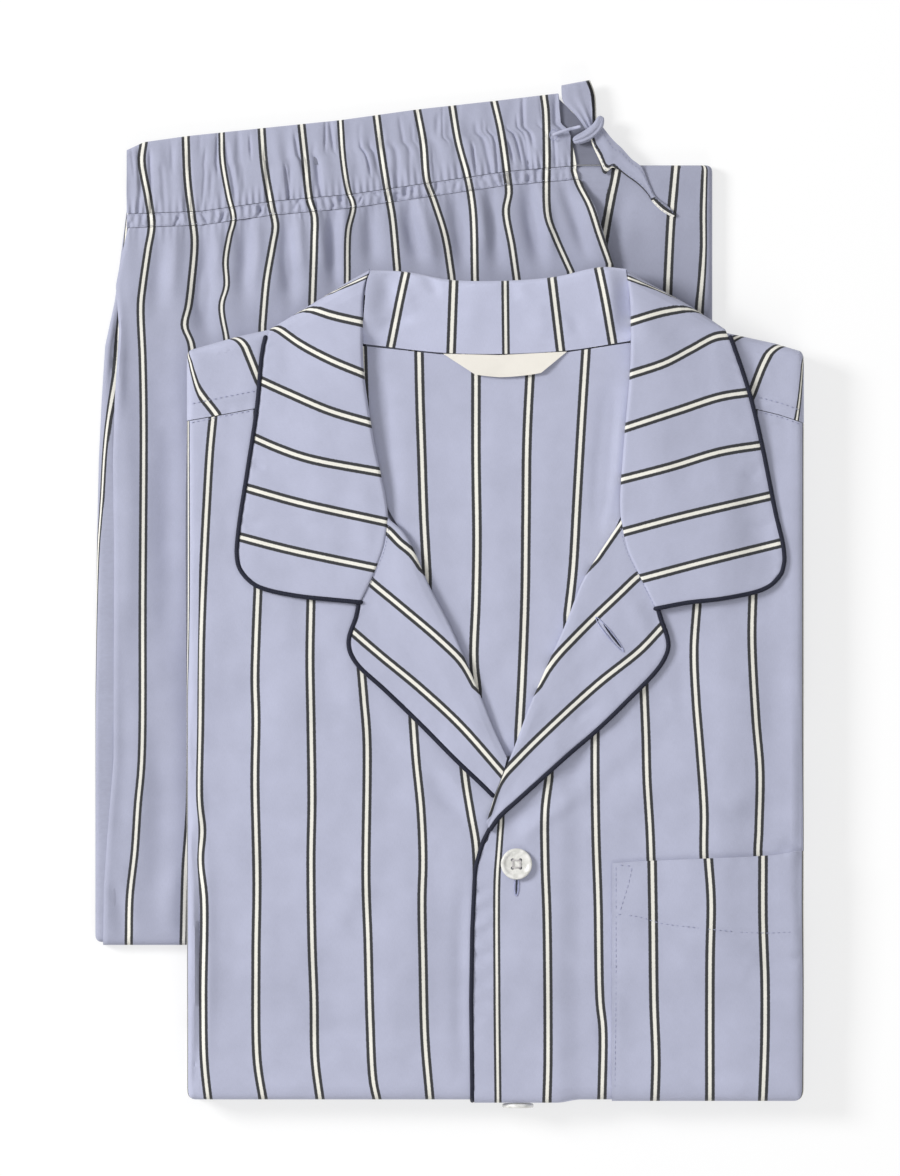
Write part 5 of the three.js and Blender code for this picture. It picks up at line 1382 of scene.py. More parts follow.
def make_front_left():
    start = JACKET_LEFT + JACKET_FOLD[0]

    def free(ys):
        inner = np.where(ys > -94, roll_left(ys) - ROLL_ROOM, np.interp(ys, [-112, -94], [FRONT_OVERLAP_EDGE, 28.2]))
        return start + (inner[:, None] - JACKET_LEFT - JACKET_FOLD[0]) * np.linspace(0, 1, 92)[None, :]

    x, y, drop, flat_x = jacket_sheet(free, 112, "left")
    y = follow_seam(y, x, SHOULDER_SEAM, 60, -0.2)
    seam = table(SHOULDER_SEAM, x) - y
    z = jacket_top(x, y) - drop + jacket_relief(x, y) + edge_pucker(seam, x, 0.25, 13)
    grid = np.stack([x, y, z], -1)
    return sew_cloth("FrontLeft", "front_left", "jacket", grid,
                     cloth_uv("front_left", flat_x, y), ["jacket_folded_body"])


def right_inner_edge(y):
    return np.where(y < -138.5, table(FRONT_EDGE, y), roll_right(y) + ROLL_ROOM)


def make_front_right():
    """The right front, which laps over the left one below the lapels."""
    def free(ys):
        inner = right_inner_edge(ys)[:, None]
        return inner + (JACKET_RIGHT - JACKET_FOLD[0] - inner) * np.linspace(0, 1, 88)[None, :]

    x, y, drop, flat_x = jacket_sheet(free, 113, "right")
    y = follow_seam(y, x, SHOULDER_SEAM, 60, -0.2)
    lower = smooth((JACKET_BOTTOM + 20 - y) / 20)
    y = y - overlap_rise(x, y) * lower
    seam = table(SHOULDER_SEAM, x) - y
    edge = x - right_inner_edge(y)
    z = front_top(x, y) - drop + jacket_relief(x, y) + edge_pucker(seam, x, 0.25, 17)
    z = z + edge_pucker(edge, y, 0.22, 19) * (y < -130)
    grid = np.stack([x, y, z], -1)
    return sew_cloth("FrontRight", "front_right", "jacket", grid,
                     cloth_uv("front_right", flat_x, y), ["jacket_folded_body", "front_left"])


def make_shoulder(side):
    """The part of the back that comes forward over a shoulder, from the gable's roll to the seam."""
    left = side == "left"
    fold = arc(*JACKET_FOLD)
    inset, corner, drop, unroll = fold
    columns, rows, n = 54, 44, len(inset)
    ys = np.concatenate([np.full(n, GABLE_START), np.linspace(GABLE_START - 1, 100, rows)])
    row_corner = np.concatenate([corner * 0.5, np.zeros(rows)])[:, None]
    row_drop = np.concatenate([drop, np.zeros(rows)])
    row_unroll = np.concatenate([unroll, np.zeros(rows)])
    down = np.concatenate([np.zeros(n), np.linspace(0, 1, rows)])
    row_inset = np.concatenate([inset, np.full(rows, JACKET_FOLD[0])])
    if left:
        a, b = JACKET_LEFT + JACKET_FOLD[0] + row_corner, roll_left(ys)[:, None] - ROLL_ROOM
    else:
        a, b = roll_right(ys)[:, None] + ROLL_ROOM, JACKET_RIGHT - JACKET_FOLD[0] - row_corner
    x, col_drop, flat = rolled(a + (b - a) * np.linspace(0, 1, columns)[None, :], side, row_corner, fold)
    gable, seam = table(GABLE, x), table(SHOULDER_SEAM, x) + 0.2
    y = gable - row_inset[:, None] + (seam - gable + row_inset[:, None]) * down[:, None]
    total = np.maximum(row_drop[:, None], col_drop[None, :])
    relief = crease_height("shoulders", x, y, settings().crease_depth) + 0.8 * softness(x, y, 23)
    z = jacket_top(x, y) - total + relief * np.clip(1 - total / 4, 0, 1) + edge_pucker(y - seam, x, 0.22, 29)
    grid = np.stack([x, y, z], -1)
    name = "ShoulderLeft" if left else "ShoulderRight"
    return sew_cloth(name, f"shoulder_{side}", "jacket", grid,
                     cloth_uv(f"shoulder_{side}", x + flat[None, :], y + row_unroll[:, None]), ["jacket_folded_body"])


def make_back():
    ys = np.linspace(138, -91.5, 120)
    a, b = roll_left(ys) - 1.4, roll_right(ys) + 1.4
    x = a[:, None] + (b - a)[:, None] * np.linspace(0, 1, 80)[None, :]
    y = np.repeat(ys[:, None], x.shape[1], 1)
    y = follow_seam(y, x, NECK_SEAM, 110, -0.6)
    depth = settings().crease_depth
    z = jacket_top(x, y) - 0.5 + np.clip(crease_height("back", x, y, depth) + softness(x, y, 31) * depth, -0.9, 1.2)
    grid = np.stack([x, y, z], -1)
    return sew_cloth("JacketBack", "jacket_back", "jacket", grid,
                     cloth_uv("back", x, y), ["jacket_folded_body"], thick=FINE_CLOTH)


def body_sheet(depth, wide):
    """The folded body's upper face at a depth below the outer cloth, rolled down at every edge."""
    inset, corner, drop, _ = arc(*JACKET_FOLD, steps=7, depth=depth)
    n = len(inset)
    rows = np.linspace(GABLE_START, JACKET_BOTTOM + 8, int(430 / wide))[1:]
    ys = np.concatenate([np.full(n, GABLE_START), rows, (JACKET_BOTTOM + inset)[::-1]])
    row_corner = np.concatenate([corner * 0.5, np.zeros(len(rows)), corner[::-1]])
    row_drop = np.concatenate([drop, np.full(len(rows), depth), drop[::-1]])
    share = np.linspace(0, 1, int(340 / wide))[1:-1]
    left = JACKET_LEFT + inset[None, :] + row_corner[:, None]
    right = JACKET_RIGHT - inset[None, ::-1] - row_corner[:, None]
    middle = left[:, -1:] + (right[:, :1] - left[:, -1:]) * share[None, :]
    x = np.concatenate([left, middle, right], 1)
    gable = table(GABLE, x) - 0.9
    y = np.repeat(ys[:, None], x.shape[1], 1)
    y[:n] = gable[:n] - inset[:, None]
    lift = smooth((rows - 40) / 110)[:, None]
    y[n:n + len(rows)] += lift * (gable[n:n + len(rows)] - 7.5 - GABLE_START)
    col_drop = np.concatenate([drop, np.full(len(share), depth), drop[::-1]])
    z = jacket_top(x, y) - np.maximum(row_drop[:, None], col_drop[None, :])
    return np.stack([x, y, z], -1)


def make_jacket_body():
    """What is folded behind: sleeves, sides and lower half, layered at the edges."""
    wide = 12.0
    top = body_sheet(BODY_DEPTH + 1.8, wide)
    order = rim(*top.shape[:2])
    loops = []
    for down, inset in layer_profile(5, 11, deepest=1.9):
        ring = loop_of(body_sheet(min(inset, 3.2), wide), order)
        x, y = ring[:, 0], ring[:, 1]
        shift = 0.4 * lattice_noise(x, y, 40, 40, 90 + int(down * 5))
        high = jacket_top(x, y) - JACKET_FOLD[1]
        ring[:, 2] = high + (jacket_under(x, y) - high) * down
        centre = np.array([JACKET_MIDDLE, -70.0])
        ring[:, :2] += np.sign(centre - ring[:, :2]) * (shift * 0.5 + 0.25)[:, None] * 0.8
        loops.append(ring)
    under = body_sheet(2.8, wide)
    under[..., 2] = jacket_under(under[..., 0], under[..., 1])

    def uv_for(p):
        down = JACKET_TOP - p[:, 2]
        outward = np.where(p[:, 0] < 0, -1, 1) * (np.abs(p[:, 0] - JACKET_MIDDLE) > 165)
        x, y = p[:, 0] + outward * down * 1.4, p[:, 1] - down
        left, right = cloth_uv("front_left", x, y), cloth_uv("front_right", x, y)
        near = np.abs(p[:, 0] - JACKET_MIDDLE) < 15
        right[:, 0] += round(float((left - right)[near, 0].mean()))
        return np.where(p[:, :1] > JACKET_MIDDLE, right, left)

    obj = layered_side("JacketFoldedBody", top, loops, under, uv_for)
    return finish_cloth(obj, "jacket_folded_body", striped_cloth("fold"), top, ["trouser_front", "stage_floor"],
                        slot="hidden_cloth")


# ---------------------------------------------------------------- collar leaves and lapels

# Rows down a leaf: share of its length, height of the roll, drop of the roll at its head, level of its inner edge
COLLAR_ROWS = [
    (0, 8.5, 14, -0.1), (0.004, 8.6, 7, -0.1), (0.014, 8.8, 2.8, -0.1), (0.035, 9, 0.7, -0.1), (0.07, 9, 0, -0.1),
    (0.17, 8.2, 0, -0.1), (0.28, 7.3, 0, -0.1), (0.4, 6.5, 0, -0.1), (0.52, 5.8, 0, -0.1), (0.63, 5.2, 0, -0.1),
    (0.72, 4.8, 0, 0.9), (0.84, 4.5, 0, 0.9), (0.91, 4.2, 0, 0.9), (0.96, 4, 0, 0.9), (1, 3.8, 0, 0.9),
]
LAPEL_ROWS = [
    (0, 4.2, 0, -0.1), (0.07, 4.4, 0, -0.1), (0.14, 4.5, 0, -0.1), (0.2, 4.5, 0, -0.1), (0.33, 4.3, 0, -0.1),
    (0.45, 4.1, 0, -0.1), (0.57, 3.9, 0, -0.1), (0.69, 3.7, 0, -0.1), (0.8, 3.4, 0, -0.1), (0.9, 3.1, 0, -0.1),
    (1, 2.8, 0, -0.1),
]
LEAVES = {
    "collar_left": {
        "roll": [(-43.9, 181.5), (-47.3, 169.7), (-48.4, 150), (-47.9, 124.9), (-42.3, 85.7), (-35.5, 52.1),
                 (-34.6, 42), (-36.6, 27), (-40.4, 16), (-45, 5), (-49.4, -4)],
        "outer": [(-100.6, 147.6), (-103.4, 136.1), (-106.7, 102.5), (-111.8, 68.9), (-116.8, 36), (-117.9, 21.3),
                  (-116.6, 14.5), (-113.6, 10)],
        "head": [(-43.9, 181.5), (-57, 174.2), (-78, 161.3), (-100.6, 147.6)],
        "foot": [(-49.4, -4), (-61.3, -2.9), (-83.7, -0.6), (-100.5, 2.6), (-108.5, 5.6), (-113.6, 10)],
        "rows": COLLAR_ROWS, "creases": "collar", "seed": 101, "pucker": 0.22,
    },
    "collar_right": {
        "roll": [(98.4, 181.5), (100.4, 169.7), (101.4, 150), (101, 124.9), (97.7, 85.7), (95.5, 52.1), (96, 41),
                 (99, 26), (105, 12.5), (110, 2.5), (115, -7.6)],
        "outer": [(154.4, 147.6), (158.6, 136.4), (167, 111), (174.2, 81), (181.6, 44), (185.6, 27), (186.4, 18.5),
                  (184.9, 11.6), (181, 6.6)],
        "head": [(98.4, 181.5), (107.2, 176.1), (134.4, 160.9), (154.4, 147.6)],
        "foot": [(115, -7.6), (133, -4.2), (151.6, -2.1), (171, 1.7), (177, 4), (181, 6.6)],
        "rows": COLLAR_ROWS, "creases": "collar", "seed": 111, "pucker": 0.18,
    },
    "lapel_left": {
        "roll": [(-34.4, 42), (-24.5, 32.5), (-12, 5.6), (1.4, -20.7), (16, -54.3), (24.8, -76.5), (32.2, -92.5)],
        "outer": [(-49.4, -4.6), (-51.2, -14), (-54.2, -22), (-55.4, -27.5), (-54.4, -33), (-50.6, -39.4),
                  (-36, -52.8), (-15.6, -72.4), (3.8, -92), (19.4, -106.8), (25.2, -112.6)],
        "head": [(-34.4, 42), (-36.5, 27), (-40.3, 16), (-44.9, 5), (-49.4, -4.6)],
        "foot": [(32.2, -92.5), (30.4, -99), (28, -106), (25.2, -112.6)],
        "rows": LAPEL_ROWS, "creases": "lapels", "seed": 121, "pucker": 0.1,
    },
    "lapel_right": {
        "roll": [(96.1, 40.8), (89.9, 31.5), (83.2, 21.3), (74.8, 7.3), (64.7, -17.9), (53.5, -43.1), (45.1, -62.7),
                 (36.7, -85.1), (31.1, -99.1), (25.5, -113.1), (20.6, -128.5)],
        "outer": [(115.1, -7.4), (117.6, -16), (120.6, -24), (121.3, -31), (116.6, -40.6), (99.4, -58.8),
                  (83, -74.8), (66, -89.4), (52.4, -101.6), (38, -114.6), (27, -124.6), (22, -131.5)],
        "head": [(96.1, 40.8), (99.1, 26.4), (105.1, 12.9), (110.1, 2.8), (115.1, -7.4)],
        "foot": [(20.6, -128.5), (21.3, -130), (22, -131.5)],
        "rows": LAPEL_ROWS, "creases": "lapels", "seed": 131, "pucker": 0.1,
    },
}


def leaf_plan(leaf, u, v):
    """A leaf in plan, stretched between its four edges."""
    roll, outer, head, foot = (Line(leaf[k]) for k in ("roll", "outer", "head", "foot"))
    u, v = u[..., None], v[..., None]
    sides = roll.at(v[..., 0]) * (1 - u) + outer.at(v[..., 0]) * u
    ends = head.at(u[..., 0]) * (1 - v) + foot.at(u[..., 0]) * v
    h0, h1, f0, f1 = head.at(0.0), head.at(1.0), foot.at(0.0), foot.at(1.0)
    corners = (h0 * (1 - u) + h1 * u) * (1 - v) + (f0 * (1 - u) + f1 * u) * v
    return sides + ends - corners


# Columns beside a leaf's rolled edge, in millimetres from it; the first two go down its inner side
ROLL_COLUMNS = np.array([0, 0, 0, 0.07, 0.24, 0.48, 0.78, 1.14, 1.6])
LEAF_LOWEST = 5.7


def leaf_grid(leaf, rows_count=110):
    """The outer face of a collar leaf or lapel: its roll, its fall to the free edge, and its creases."""
    rows = leaf["rows"]
    shares = [r[0] for r in rows]
    v = np.unique(np.concatenate([np.linspace(0, 1, rows_count), shares]))
    crest, drop, foot = (np.interp(v, shares, [r[k] for r in rows]) for k in (1, 2, 3))
    v2 = v[:, None]
    ends = leaf_plan(leaf, np.array([[0.0, 1.0]]).repeat(len(v), 0), v2.repeat(2, 1))
    width = np.linalg.norm(ends[:, 1] - ends[:, 0], axis=1)[:, None]
    scale = np.minimum(1, width / 14)
    near = ROLL_COLUMNS[None, :] * scale
    far = np.linspace(0, 1, 52)[1:][None, :]
    inset = np.concatenate([near, near[:, -1:] + (width - near[:, -1:]) * far], 1)
    u = inset / width
    p = leaf_plan(leaf, u, v2.repeat(u.shape[1], 1))
    broad = 0.1 + 0.9 * (1 - smooth((u - 0.05) / 0.95))
    turn = 1 - 0.45 * (1 - np.clip(inset / (ROLL_COLUMNS[-1] * scale), 0, 1)) ** 2
    share = (broad * turn - 0.1) / 0.9
    rise = LEAF_EDGE_RISE + (crest[:, None] - LEAF_EDGE_RISE) * share
    rise[:, 0] = foot
    rise[:, 1] = foot + (rise[:, 2] - foot) * 0.5
    x, y = p[..., 0], p[..., 1]
    depth = settings().crease_depth
    flat = smooth(inset / 6) * (0.25 + 0.75 * smooth((v2 - 0.02) / 0.1))
    relief = (crease_height(leaf["creases"], x, y, depth) + 0.8 * softness(x, y, leaf["seed"]) * depth) * flat
    relief = relief + edge_pucker(width - inset, v2 * 190 + 0 * u, leaf["pucker"], leaf["seed"] + 3)
    base = front_top(x, y) + smooth((u - 0.5) / 0.5) * np.clip(jacket_relief(x, y), -0.2, 1.5)
    z = base + rise + relief - drop[:, None] * (1 - 0.85 * u)
    # The head turns down no lower than this, each inner row a little lower than the next
    lowest = base - LEAF_LOWEST
    lowest[:, 0] -= 0.8
    lowest[:, 1] -= 0.4
    z = np.maximum(z, lowest)
    return np.stack([x, y, z - 0.35 * rounded_off(width - inset, 1.2)], -1)


LEAF_NAMES = {key: key.title().replace("_", "") for key in LEAVES}
LEAF_GRIDS = {}


def make_leaf(key, name):
    leaf = LEAVES[key]
    grid = leaf_grid(leaf)
    LEAF_GRIDS[key] = grid
    inner = grid - normals_of(grid) * CLOTH_THICK
    thickness = np.clip(np.linalg.norm(grid[:, -1] - grid[:, 0], axis=1) / 12, 0.35, 1)[:, None, None]
    inner = grid + (inner - grid) * thickness
    x, y = grid[..., 0].copy(), grid[..., 1].copy()
    # The stripes run on down the collar's head, so its rows are unrolled there
    if leaf["rows"] is COLLAR_ROWS:
        y[:12] += np.clip(grid[11:12, :, 2] - grid[:12, :, 2], 0, 14)
    uv = cloth_uv(key, x, y, along=x)
    return sew_cloth(name, key, "jacket", grid, uv, ["front_left" if "left" in key else "front_right"], inner=inner)


STAND_HEAD = [(-45.5, 180.6), (-25, 179.8), (0.3, 175.3), (28.3, 174.7), (59.1, 177), (84.3, 182.4), (99.5, 181.4)]
STAND_FOOT = [(-49.5, 139.6), (-5, 134.6), (28, 133.8), (66, 135.8), (102.6, 141.4)]
# Up the stand: share of its rows, share of the way from foot to head, rise
STAND_SECTION = [(0, 0, 0), (0.12, 0.12, 1.3), (0.3, 0.4, 3.9), (0.5, 0.7, 6.6), (0.64, 0.88, 8), (0.72, 0.96, 8),
                 (0.8, 0.992, 6.4), (0.86, 1, 4.4), (1, 1, -7)]


def make_stand():
    """The collar's stand: up from the neck seam, over its top and down behind."""
    head, foot = Line(STAND_HEAD), Line(STAND_FOOT)
    s = np.linspace(0, 1, 64)
    keys = [r[0] for r in STAND_SECTION]
    up = np.interp(s, keys, [r[1] for r in STAND_SECTION])
    rise = np.interp(s, keys, [r[2] for r in STAND_SECTION])
    kernel = np.array([1, 2, 3, 2, 1]) / 9
    rise = np.concatenate([rise[:2], np.convolve(rise, kernel, "valid"), rise[-2:]])
    u = np.linspace(0, 1, 90)
    f, h = foot.at(u), head.at(u)
    p = f[None, :, :] + (h - f)[None, :, :] * up[:, None, None]
    y = p[..., 1]
    x = np.clip(p[..., 0], roll_left(y) - 0.1, roll_right(y) + 0.1)
    relief = crease_height("stand", x, y, settings().crease_depth)
    relief = relief * smooth(s / 0.15)[:, None] * (1 - smooth((s - 0.7) / 0.1))[:, None]
    soft = 0.5 * softness(x, y, 37) * smooth(s / 0.1)[:, None]
    grid = np.stack([x, y, jacket_top(x, y) + rise[:, None] + relief + soft], -1)
    uv = cloth_uv("stand", x, y + np.where(s > 0.8, -(s - 0.8) * 60, 0)[:, None])
    inner = grid - normals_of(grid, rows=slice(8, 30)) * CLOTH_THICK
    return sew_cloth("CollarStand", "collar_stand", "stand", grid, uv, ["jacket_folded_body"], inner=inner)


# ---------------------------------------------------------------- piping, pocket, label

def level_unit(vectors):
    """Unit vectors along the plan."""
    vectors[:, 2] = 0
    return vectors / np.maximum(np.linalg.norm(vectors, axis=1, keepdims=True), 1e-9)


def finish_piping(name, node_name, path):
    cord = tube(name, Line(path[::2]).spaced(1.0), PIPING_RADIUS * 1.02, sides=12)
    return finish_trim(cord, piping_material(), node_name)


def leaf_piping(key, name, start, along_foot):
    """A cord just outside a leaf's free edge, and along its foot too where it's a collar."""
    grid = LEAF_GRIDS[key]
    rows = int(start * grid.shape[0])
    edge = grid[rows:, -1]
    inward = grid[rows:, -12] - edge
    if along_foot:
        foot = grid[-1, 3:-1][::-1]
        edge = np.concatenate([edge, foot])
        inward = np.concatenate([inward, grid[-9, 3:-1][::-1] - foot])
    away = -inward
    away[:, 2] = 0
    tangent = level_unit(np.gradient(edge, axis=0))
    away -= (away * tangent).sum(1, keepdims=True) * tangent
    path = edge + level_unit(away) * (PIPING_RADIUS * 0.95)
    path[:, 2] = edge[:, 2] - 0.25
    for _ in range(4):
        path[1:-1] = (path[:-2] + 2 * path[1:-1] + path[2:]) / 4
    return finish_piping(name, f"piping_{key}", path)


def make_front_piping():
    turn = JACKET_BOTTOM + 8
    ys = np.linspace(-127.5, turn, 124)
    x = right_inner_edge(ys) - PIPING_RADIUS * 0.8
    x = np.where(ys > -146, np.interp(ys, [-146.7, -138.5, -131.5, -127.5], [16.4, 19.1, 22.8, 25.6]), x)
    z = front_top(x, ys) - 0.25 + 0.6 * jacket_relief(x, ys)
    # The cord turns over the lower fold in a quarter circle
    angle, radius = np.linspace(0, 1.45, 14)[1:], 7.4
    low_y = turn - radius * np.sin(angle) - 1.2 * np.sin(angle)
    low = np.stack([np.full(len(angle), x[-1]), low_y, z[-1] - radius * (1 - np.cos(angle))], 1)
    return finish_piping("PipingFront", "piping_front", np.concatenate([np.stack([x, ys, z], 1), low]))


def make_pocket():
    """The pocket, with its hem, its opening and the part that turns over the folds."""
    left = 91.0
    columns, rows = 58, 66
    inset, corner, drop, unroll = arc(*JACKET_FOLD)
    # The pocket turns only the upper part of the side's and the lower edge's roll
    side, low = slice(-2, -8, -1), slice(-2, -9, -1)
    xs = np.concatenate([np.linspace(left, JACKET_RIGHT - JACKET_FOLD[0], columns), (JACKET_RIGHT - inset)[side]])
    col_drop = np.concatenate([np.zeros(columns), drop[side]])
    flat = np.concatenate([np.zeros(columns), unroll[side]])
    ys = np.concatenate([np.linspace(POCKET_TOP, LOWER_ROLL, rows), (JACKET_BOTTOM + inset)[low]])
    row_drop = np.concatenate([np.zeros(rows), drop[low]])[:, None]
    row_corner = np.concatenate([np.zeros(rows), corner[low]])[:, None]
    x, y = np.meshgrid(xs, ys)
    x = x - row_corner * ((x - left) / (JACKET_RIGHT - left)) ** 6
    y = y - 1.2 * np.clip(row_drop / 7, 0, 1)
    opening = np.interp(x, [91, 107, 135, 163, 182, 195], [-151.2, -150.1, -149.0, -147.9, -146.8, -144.5])
    y = y + smooth((y - (POCKET_TOP - 45)) / 45) * (opening - POCKET_TOP)
    below = opening - y
    above_hem = y - np.interp(x, [91, 118, 132, 155, 180, 192], [-181, -183, -188, -190.5, -191.5, -191])
    relief = jacket_relief(x, y) + 0.25 * softness(x, y, 47)
    relief = relief - 0.35 * bell(above_hem, 0.9) + 0.3 * smooth(above_hem / 2)
    relief = relief - 0.3 * bell(x - 93.2, 0.7) * (below > 1)
    relief = relief + edge_pucker(below, x, 0.18, 43) + edge_pucker(x - left, y, 0.18, 44)
    lift = 0.5 + 0.7 * bell(x - 150, 34) * np.exp(-(below / 9)) + 1.2 * bell(x - 192, 5) * np.exp(-below / 6)
    top = front_top(x, y) - np.maximum(row_drop, col_drop[None, :])
    grid = np.stack([x, y, top + CLOTH_THICK + relief + lift], -1)
    return sew_cloth("Pocket", "pocket", "jacket", grid,
                     cloth_uv("pocket", x + flat[None, :], y), ["front_right"], held="laid")


def make_label():
    """A bare tape that hangs from the neck seam and bows a little."""
    rows = []
    for t in np.linspace(0, 1, 16):
        left = -3.6 + 17.9 * t
        right = 65.8 - 14.5 * t
        x = np.linspace(left, right, 60)
        bow = 1.0 - ((x - (left + right) / 2) / ((right - left) / 2)) ** 2
        y = table(NECK_SEAM, x) - 0.2 - 11.2 * t - 1.3 * bow * t
        z = jacket_top(x, y) + 0.55 + 1.5 * smooth(t) + 0.12 * np.sin(x / 6) * t
        rows.append(np.stack([x, y, z], -1))
    grid = np.array(rows)
    uv = grid[..., :2] / PLAIN_REPEAT
    obj = cloth_piece("NeckLabel", grid, uv, thick=0.35)
    label = plain_fabric("Label tape", settings().label, 0.55, 70.0, 0.25, 0.25)
    return finish_cloth(obj, "neck_label", label, grid, ["jacket_back"], slot="label", held="laid")


# ---------------------------------------------------------------- buttons and buttonholes

BUTTON_PROFILE = [
    (0, 0), (0.5, 0), (0.8, 0.02), (0.93, 0.1), (0.985, 0.25), (1, 0.45), (1, 0.62), (0.985, 0.82), (0.95, 0.95),
    (0.9, 1), (0.84, 1), (0.78, 0.94), (0.72, 0.8), (0.66, 0.72), (0.55, 0.68), (0.3, 0.66), (0, 0.66),
]


HOLE_PLACE, HOLE_RADIUS = 2.2, 0.95
# A thread over two holes, as (along, up)
THREAD_ARCH = [(-2.3, 1.0), (-1.6, 1.95), (0, 2.2), (1.6, 1.95), (2.3, 1.0)]


def hole_cutter():
    """Four round pegs that cut a button's holes."""
    sides = 24
    points, faces = [], []
    for i, j in ((-1, -1), (1, -1), (1, 1), (-1, 1)):
        base = len(points)
        ring = [(HOLE_PLACE * i + HOLE_RADIUS * math.cos(a), HOLE_PLACE * j + HOLE_RADIUS * math.sin(a))
                for a in np.linspace(0, 2 * np.pi, sides, endpoint=False)]
        points += [(x, y, -2) for x, y in ring] + [(x, y, 6) for x, y in ring]
        faces += [[base + v for v in face] for face in ring_faces(2, sides)]
        faces += [[base + k for k in reversed(range(sides))], [base + sides + k for k in range(sides)]]
    return place_object("ButtonHoles", mesh_from("ButtonHoles", points, faces))


def button(name, node_name, matrix):
    """A shirt button with four holes and its crossed-over threads."""
    sides = 64
    angle = np.linspace(0, 2 * np.pi, sides, endpoint=False)
    points = []
    for out, up in BUTTON_PROFILE:
        r = max(out * BUTTON_RADIUS, 0.02)
        points += [(r * math.cos(a), r * math.sin(a), up * BUTTON_HEIGHT) for a in angle]
    last = (len(BUTTON_PROFILE) - 1) * sides
    faces = ring_faces(len(BUTTON_PROFILE), sides) + [list(range(sides))[::-1], list(range(last, last + sides))]
    obj = place_object(name, mesh_from(name, points, faces))
    cutter = hole_cutter()
    holes = obj.modifiers.new("Holes", "BOOLEAN")
    holes.operation = "DIFFERENCE"
    holes.solver = "EXACT"
    holes.object = cutter
    evaluated = obj.evaluated_get(bpy.context.evaluated_depsgraph_get())
    cut = bpy.data.meshes.new_from_object(evaluated)
    obj.modifiers.clear()
    obj.data = cut
    bpy.data.objects.remove(cutter)
    cut.shade_smooth()
    cut.set_sharp_from_angle(angle=math.radians(40))
    cut.transform(matrix)
    finish_trim(obj, pearl_material(), node_name)
    threads = []
    for axis in (0, 1):
        for i in (-1, 1):
            for off in (-0.25, 0.25):
                path = np.array([(2.1 * i + off, run, up) for run, up in THREAD_ARCH])
                threads.append(path if axis == 0 else path[:, [1, 0, 2]])
    pieces = [tube(f"{name}Thread{k}", Line(path).spaced(0.35), 0.22, sides=8) for k, path in enumerate(threads)]
    joined = join(f"{name}Thread", pieces)
    joined.data.transform(matrix)
    finish_trim(joined, thread_material("Button thread", (0.62, 0.6, 0.6)))
    return obj


def join(name, objects):
    """One object from several, made in mesh data."""
    points, faces = [], []
    start = 0
    for obj in objects:
        points.append(points_of(obj.data))
        faces += [[start + v for v in poly.vertices] for poly in obj.data.polygons]
        start += len(obj.data.vertices)
        bpy.data.objects.remove(obj)
    mesh = bpy.data.meshes.new(name)
    mesh.from_pydata(np.concatenate(points).tolist(), [], faces)
    mesh.shade_smooth()
    return place_object(name, mesh)


def make_buttons():
    x, y = UPPER_BUTTON
    z = float(front_top(np.array(x), np.array(y))) + GAP
    tilt = Matrix.Rotation(math.radians(-2), 4, "X")
    button("ButtonUpper", "button_upper", Matrix.Translation(Vector((x, y, z + 0.35)) * MM) @ tilt)
    flat = Matrix.Rotation(math.radians(90), 4, "X")
    place = Vector((LOWER_BUTTON[0], JACKET_BOTTOM - FRONT_RISE - GAP, LOWER_BUTTON[1])) * MM
    button("ButtonLower", "button_lower", Matrix.Translation(place) @ flat)


def turned(centre, along, across, turn):
    """A place from a buttonhole's centre, along and across its slit."""
    c, s = math.cos(turn), math.sin(turn)
    return centre[0] + along * c - across * s, centre[1] + along * s + across * c


def oval_stitches(name, centre, half_long, half_wide, turn, surface, wrap=1.6):
    """A buttonhole's purled edge: stitches side by side round a slit."""
    outline = np.array([turned(centre, half_long * math.cos(t), half_wide * math.sin(t), turn)
                        for t in np.linspace(0, 2 * np.pi, 60)])
    z = surface(outline[:, 0], outline[:, 1])
    line = Line(np.concatenate([outline, z[:, None] + 0.3], 1))
    count = int(line.length / 0.55)
    runs = []
    for k in range(count):
        p = line.at(k / count)
        away = p - np.array([centre[0], centre[1], p[2]])
        away[2] = 0
        away /= max(np.linalg.norm(away), 1e-6)
        runs.append([p - away * wrap * 0.5, p + [0, 0, 0.15], p + away * wrap * 0.5])
    return stitches(name, runs, pitch=99, length=wrap, wide=0.5, high=0.5)


def slit(name, centre, half_long, half_wide, turn, surface):
    """The painted shade in the gap between a buttonhole's edges, as a thin dark dished strip."""
    grid = np.zeros((24, 5, 3))
    for i, t in enumerate(np.linspace(-1, 1, 24)):
        for j, u in enumerate(np.linspace(-1, 1, 5)):
            x, y = turned(centre, t * half_long, u * half_wide * math.sqrt(max(1 - t * t, 0.01)), turn)
            grid[i, j] = (x, y, float(np.ravel(surface(np.array([x]), np.array([y])))[0]) + 0.38)
    return cloth_piece(name, grid, np.zeros((24, 5, 2)), thick=0.1)


def make_buttonholes():
    thread = thread_material("Buttonhole thread", tone(settings().thread, 1.36))
    centre, turn = plan([(516.5, 886)])[0], math.radians(88)
    finish_trim(oval_stitches("ButtonholeFront", centre, 5.2, 1.1, turn, front_surface), thread)
    # The slits are dark strips of painted shade
    finish_trim(slit("ButtonholeFrontSlit", centre, 4.6, 0.35, turn, front_surface), painted_shade_gap_material())
    lapel_centre, slit_centre = plan([(609.5, 634.4), (612.3, 635.8)])
    on_lapel = height_over(LEAF_GRIDS["lapel_right"].reshape(-1, 3))
    purl = oval_stitches("ButtonholeLapel", lapel_centre, 12.2, 1.5, math.radians(-51), on_lapel, wrap=1.3)
    finish_trim(purl, thread)
    finish_trim(slit("ButtonholeLapelSlit", slit_centre, 8.4, 0.75, math.radians(-53), on_lapel), painted_shade_gap_material())


# ---------------------------------------------------------------- sewing

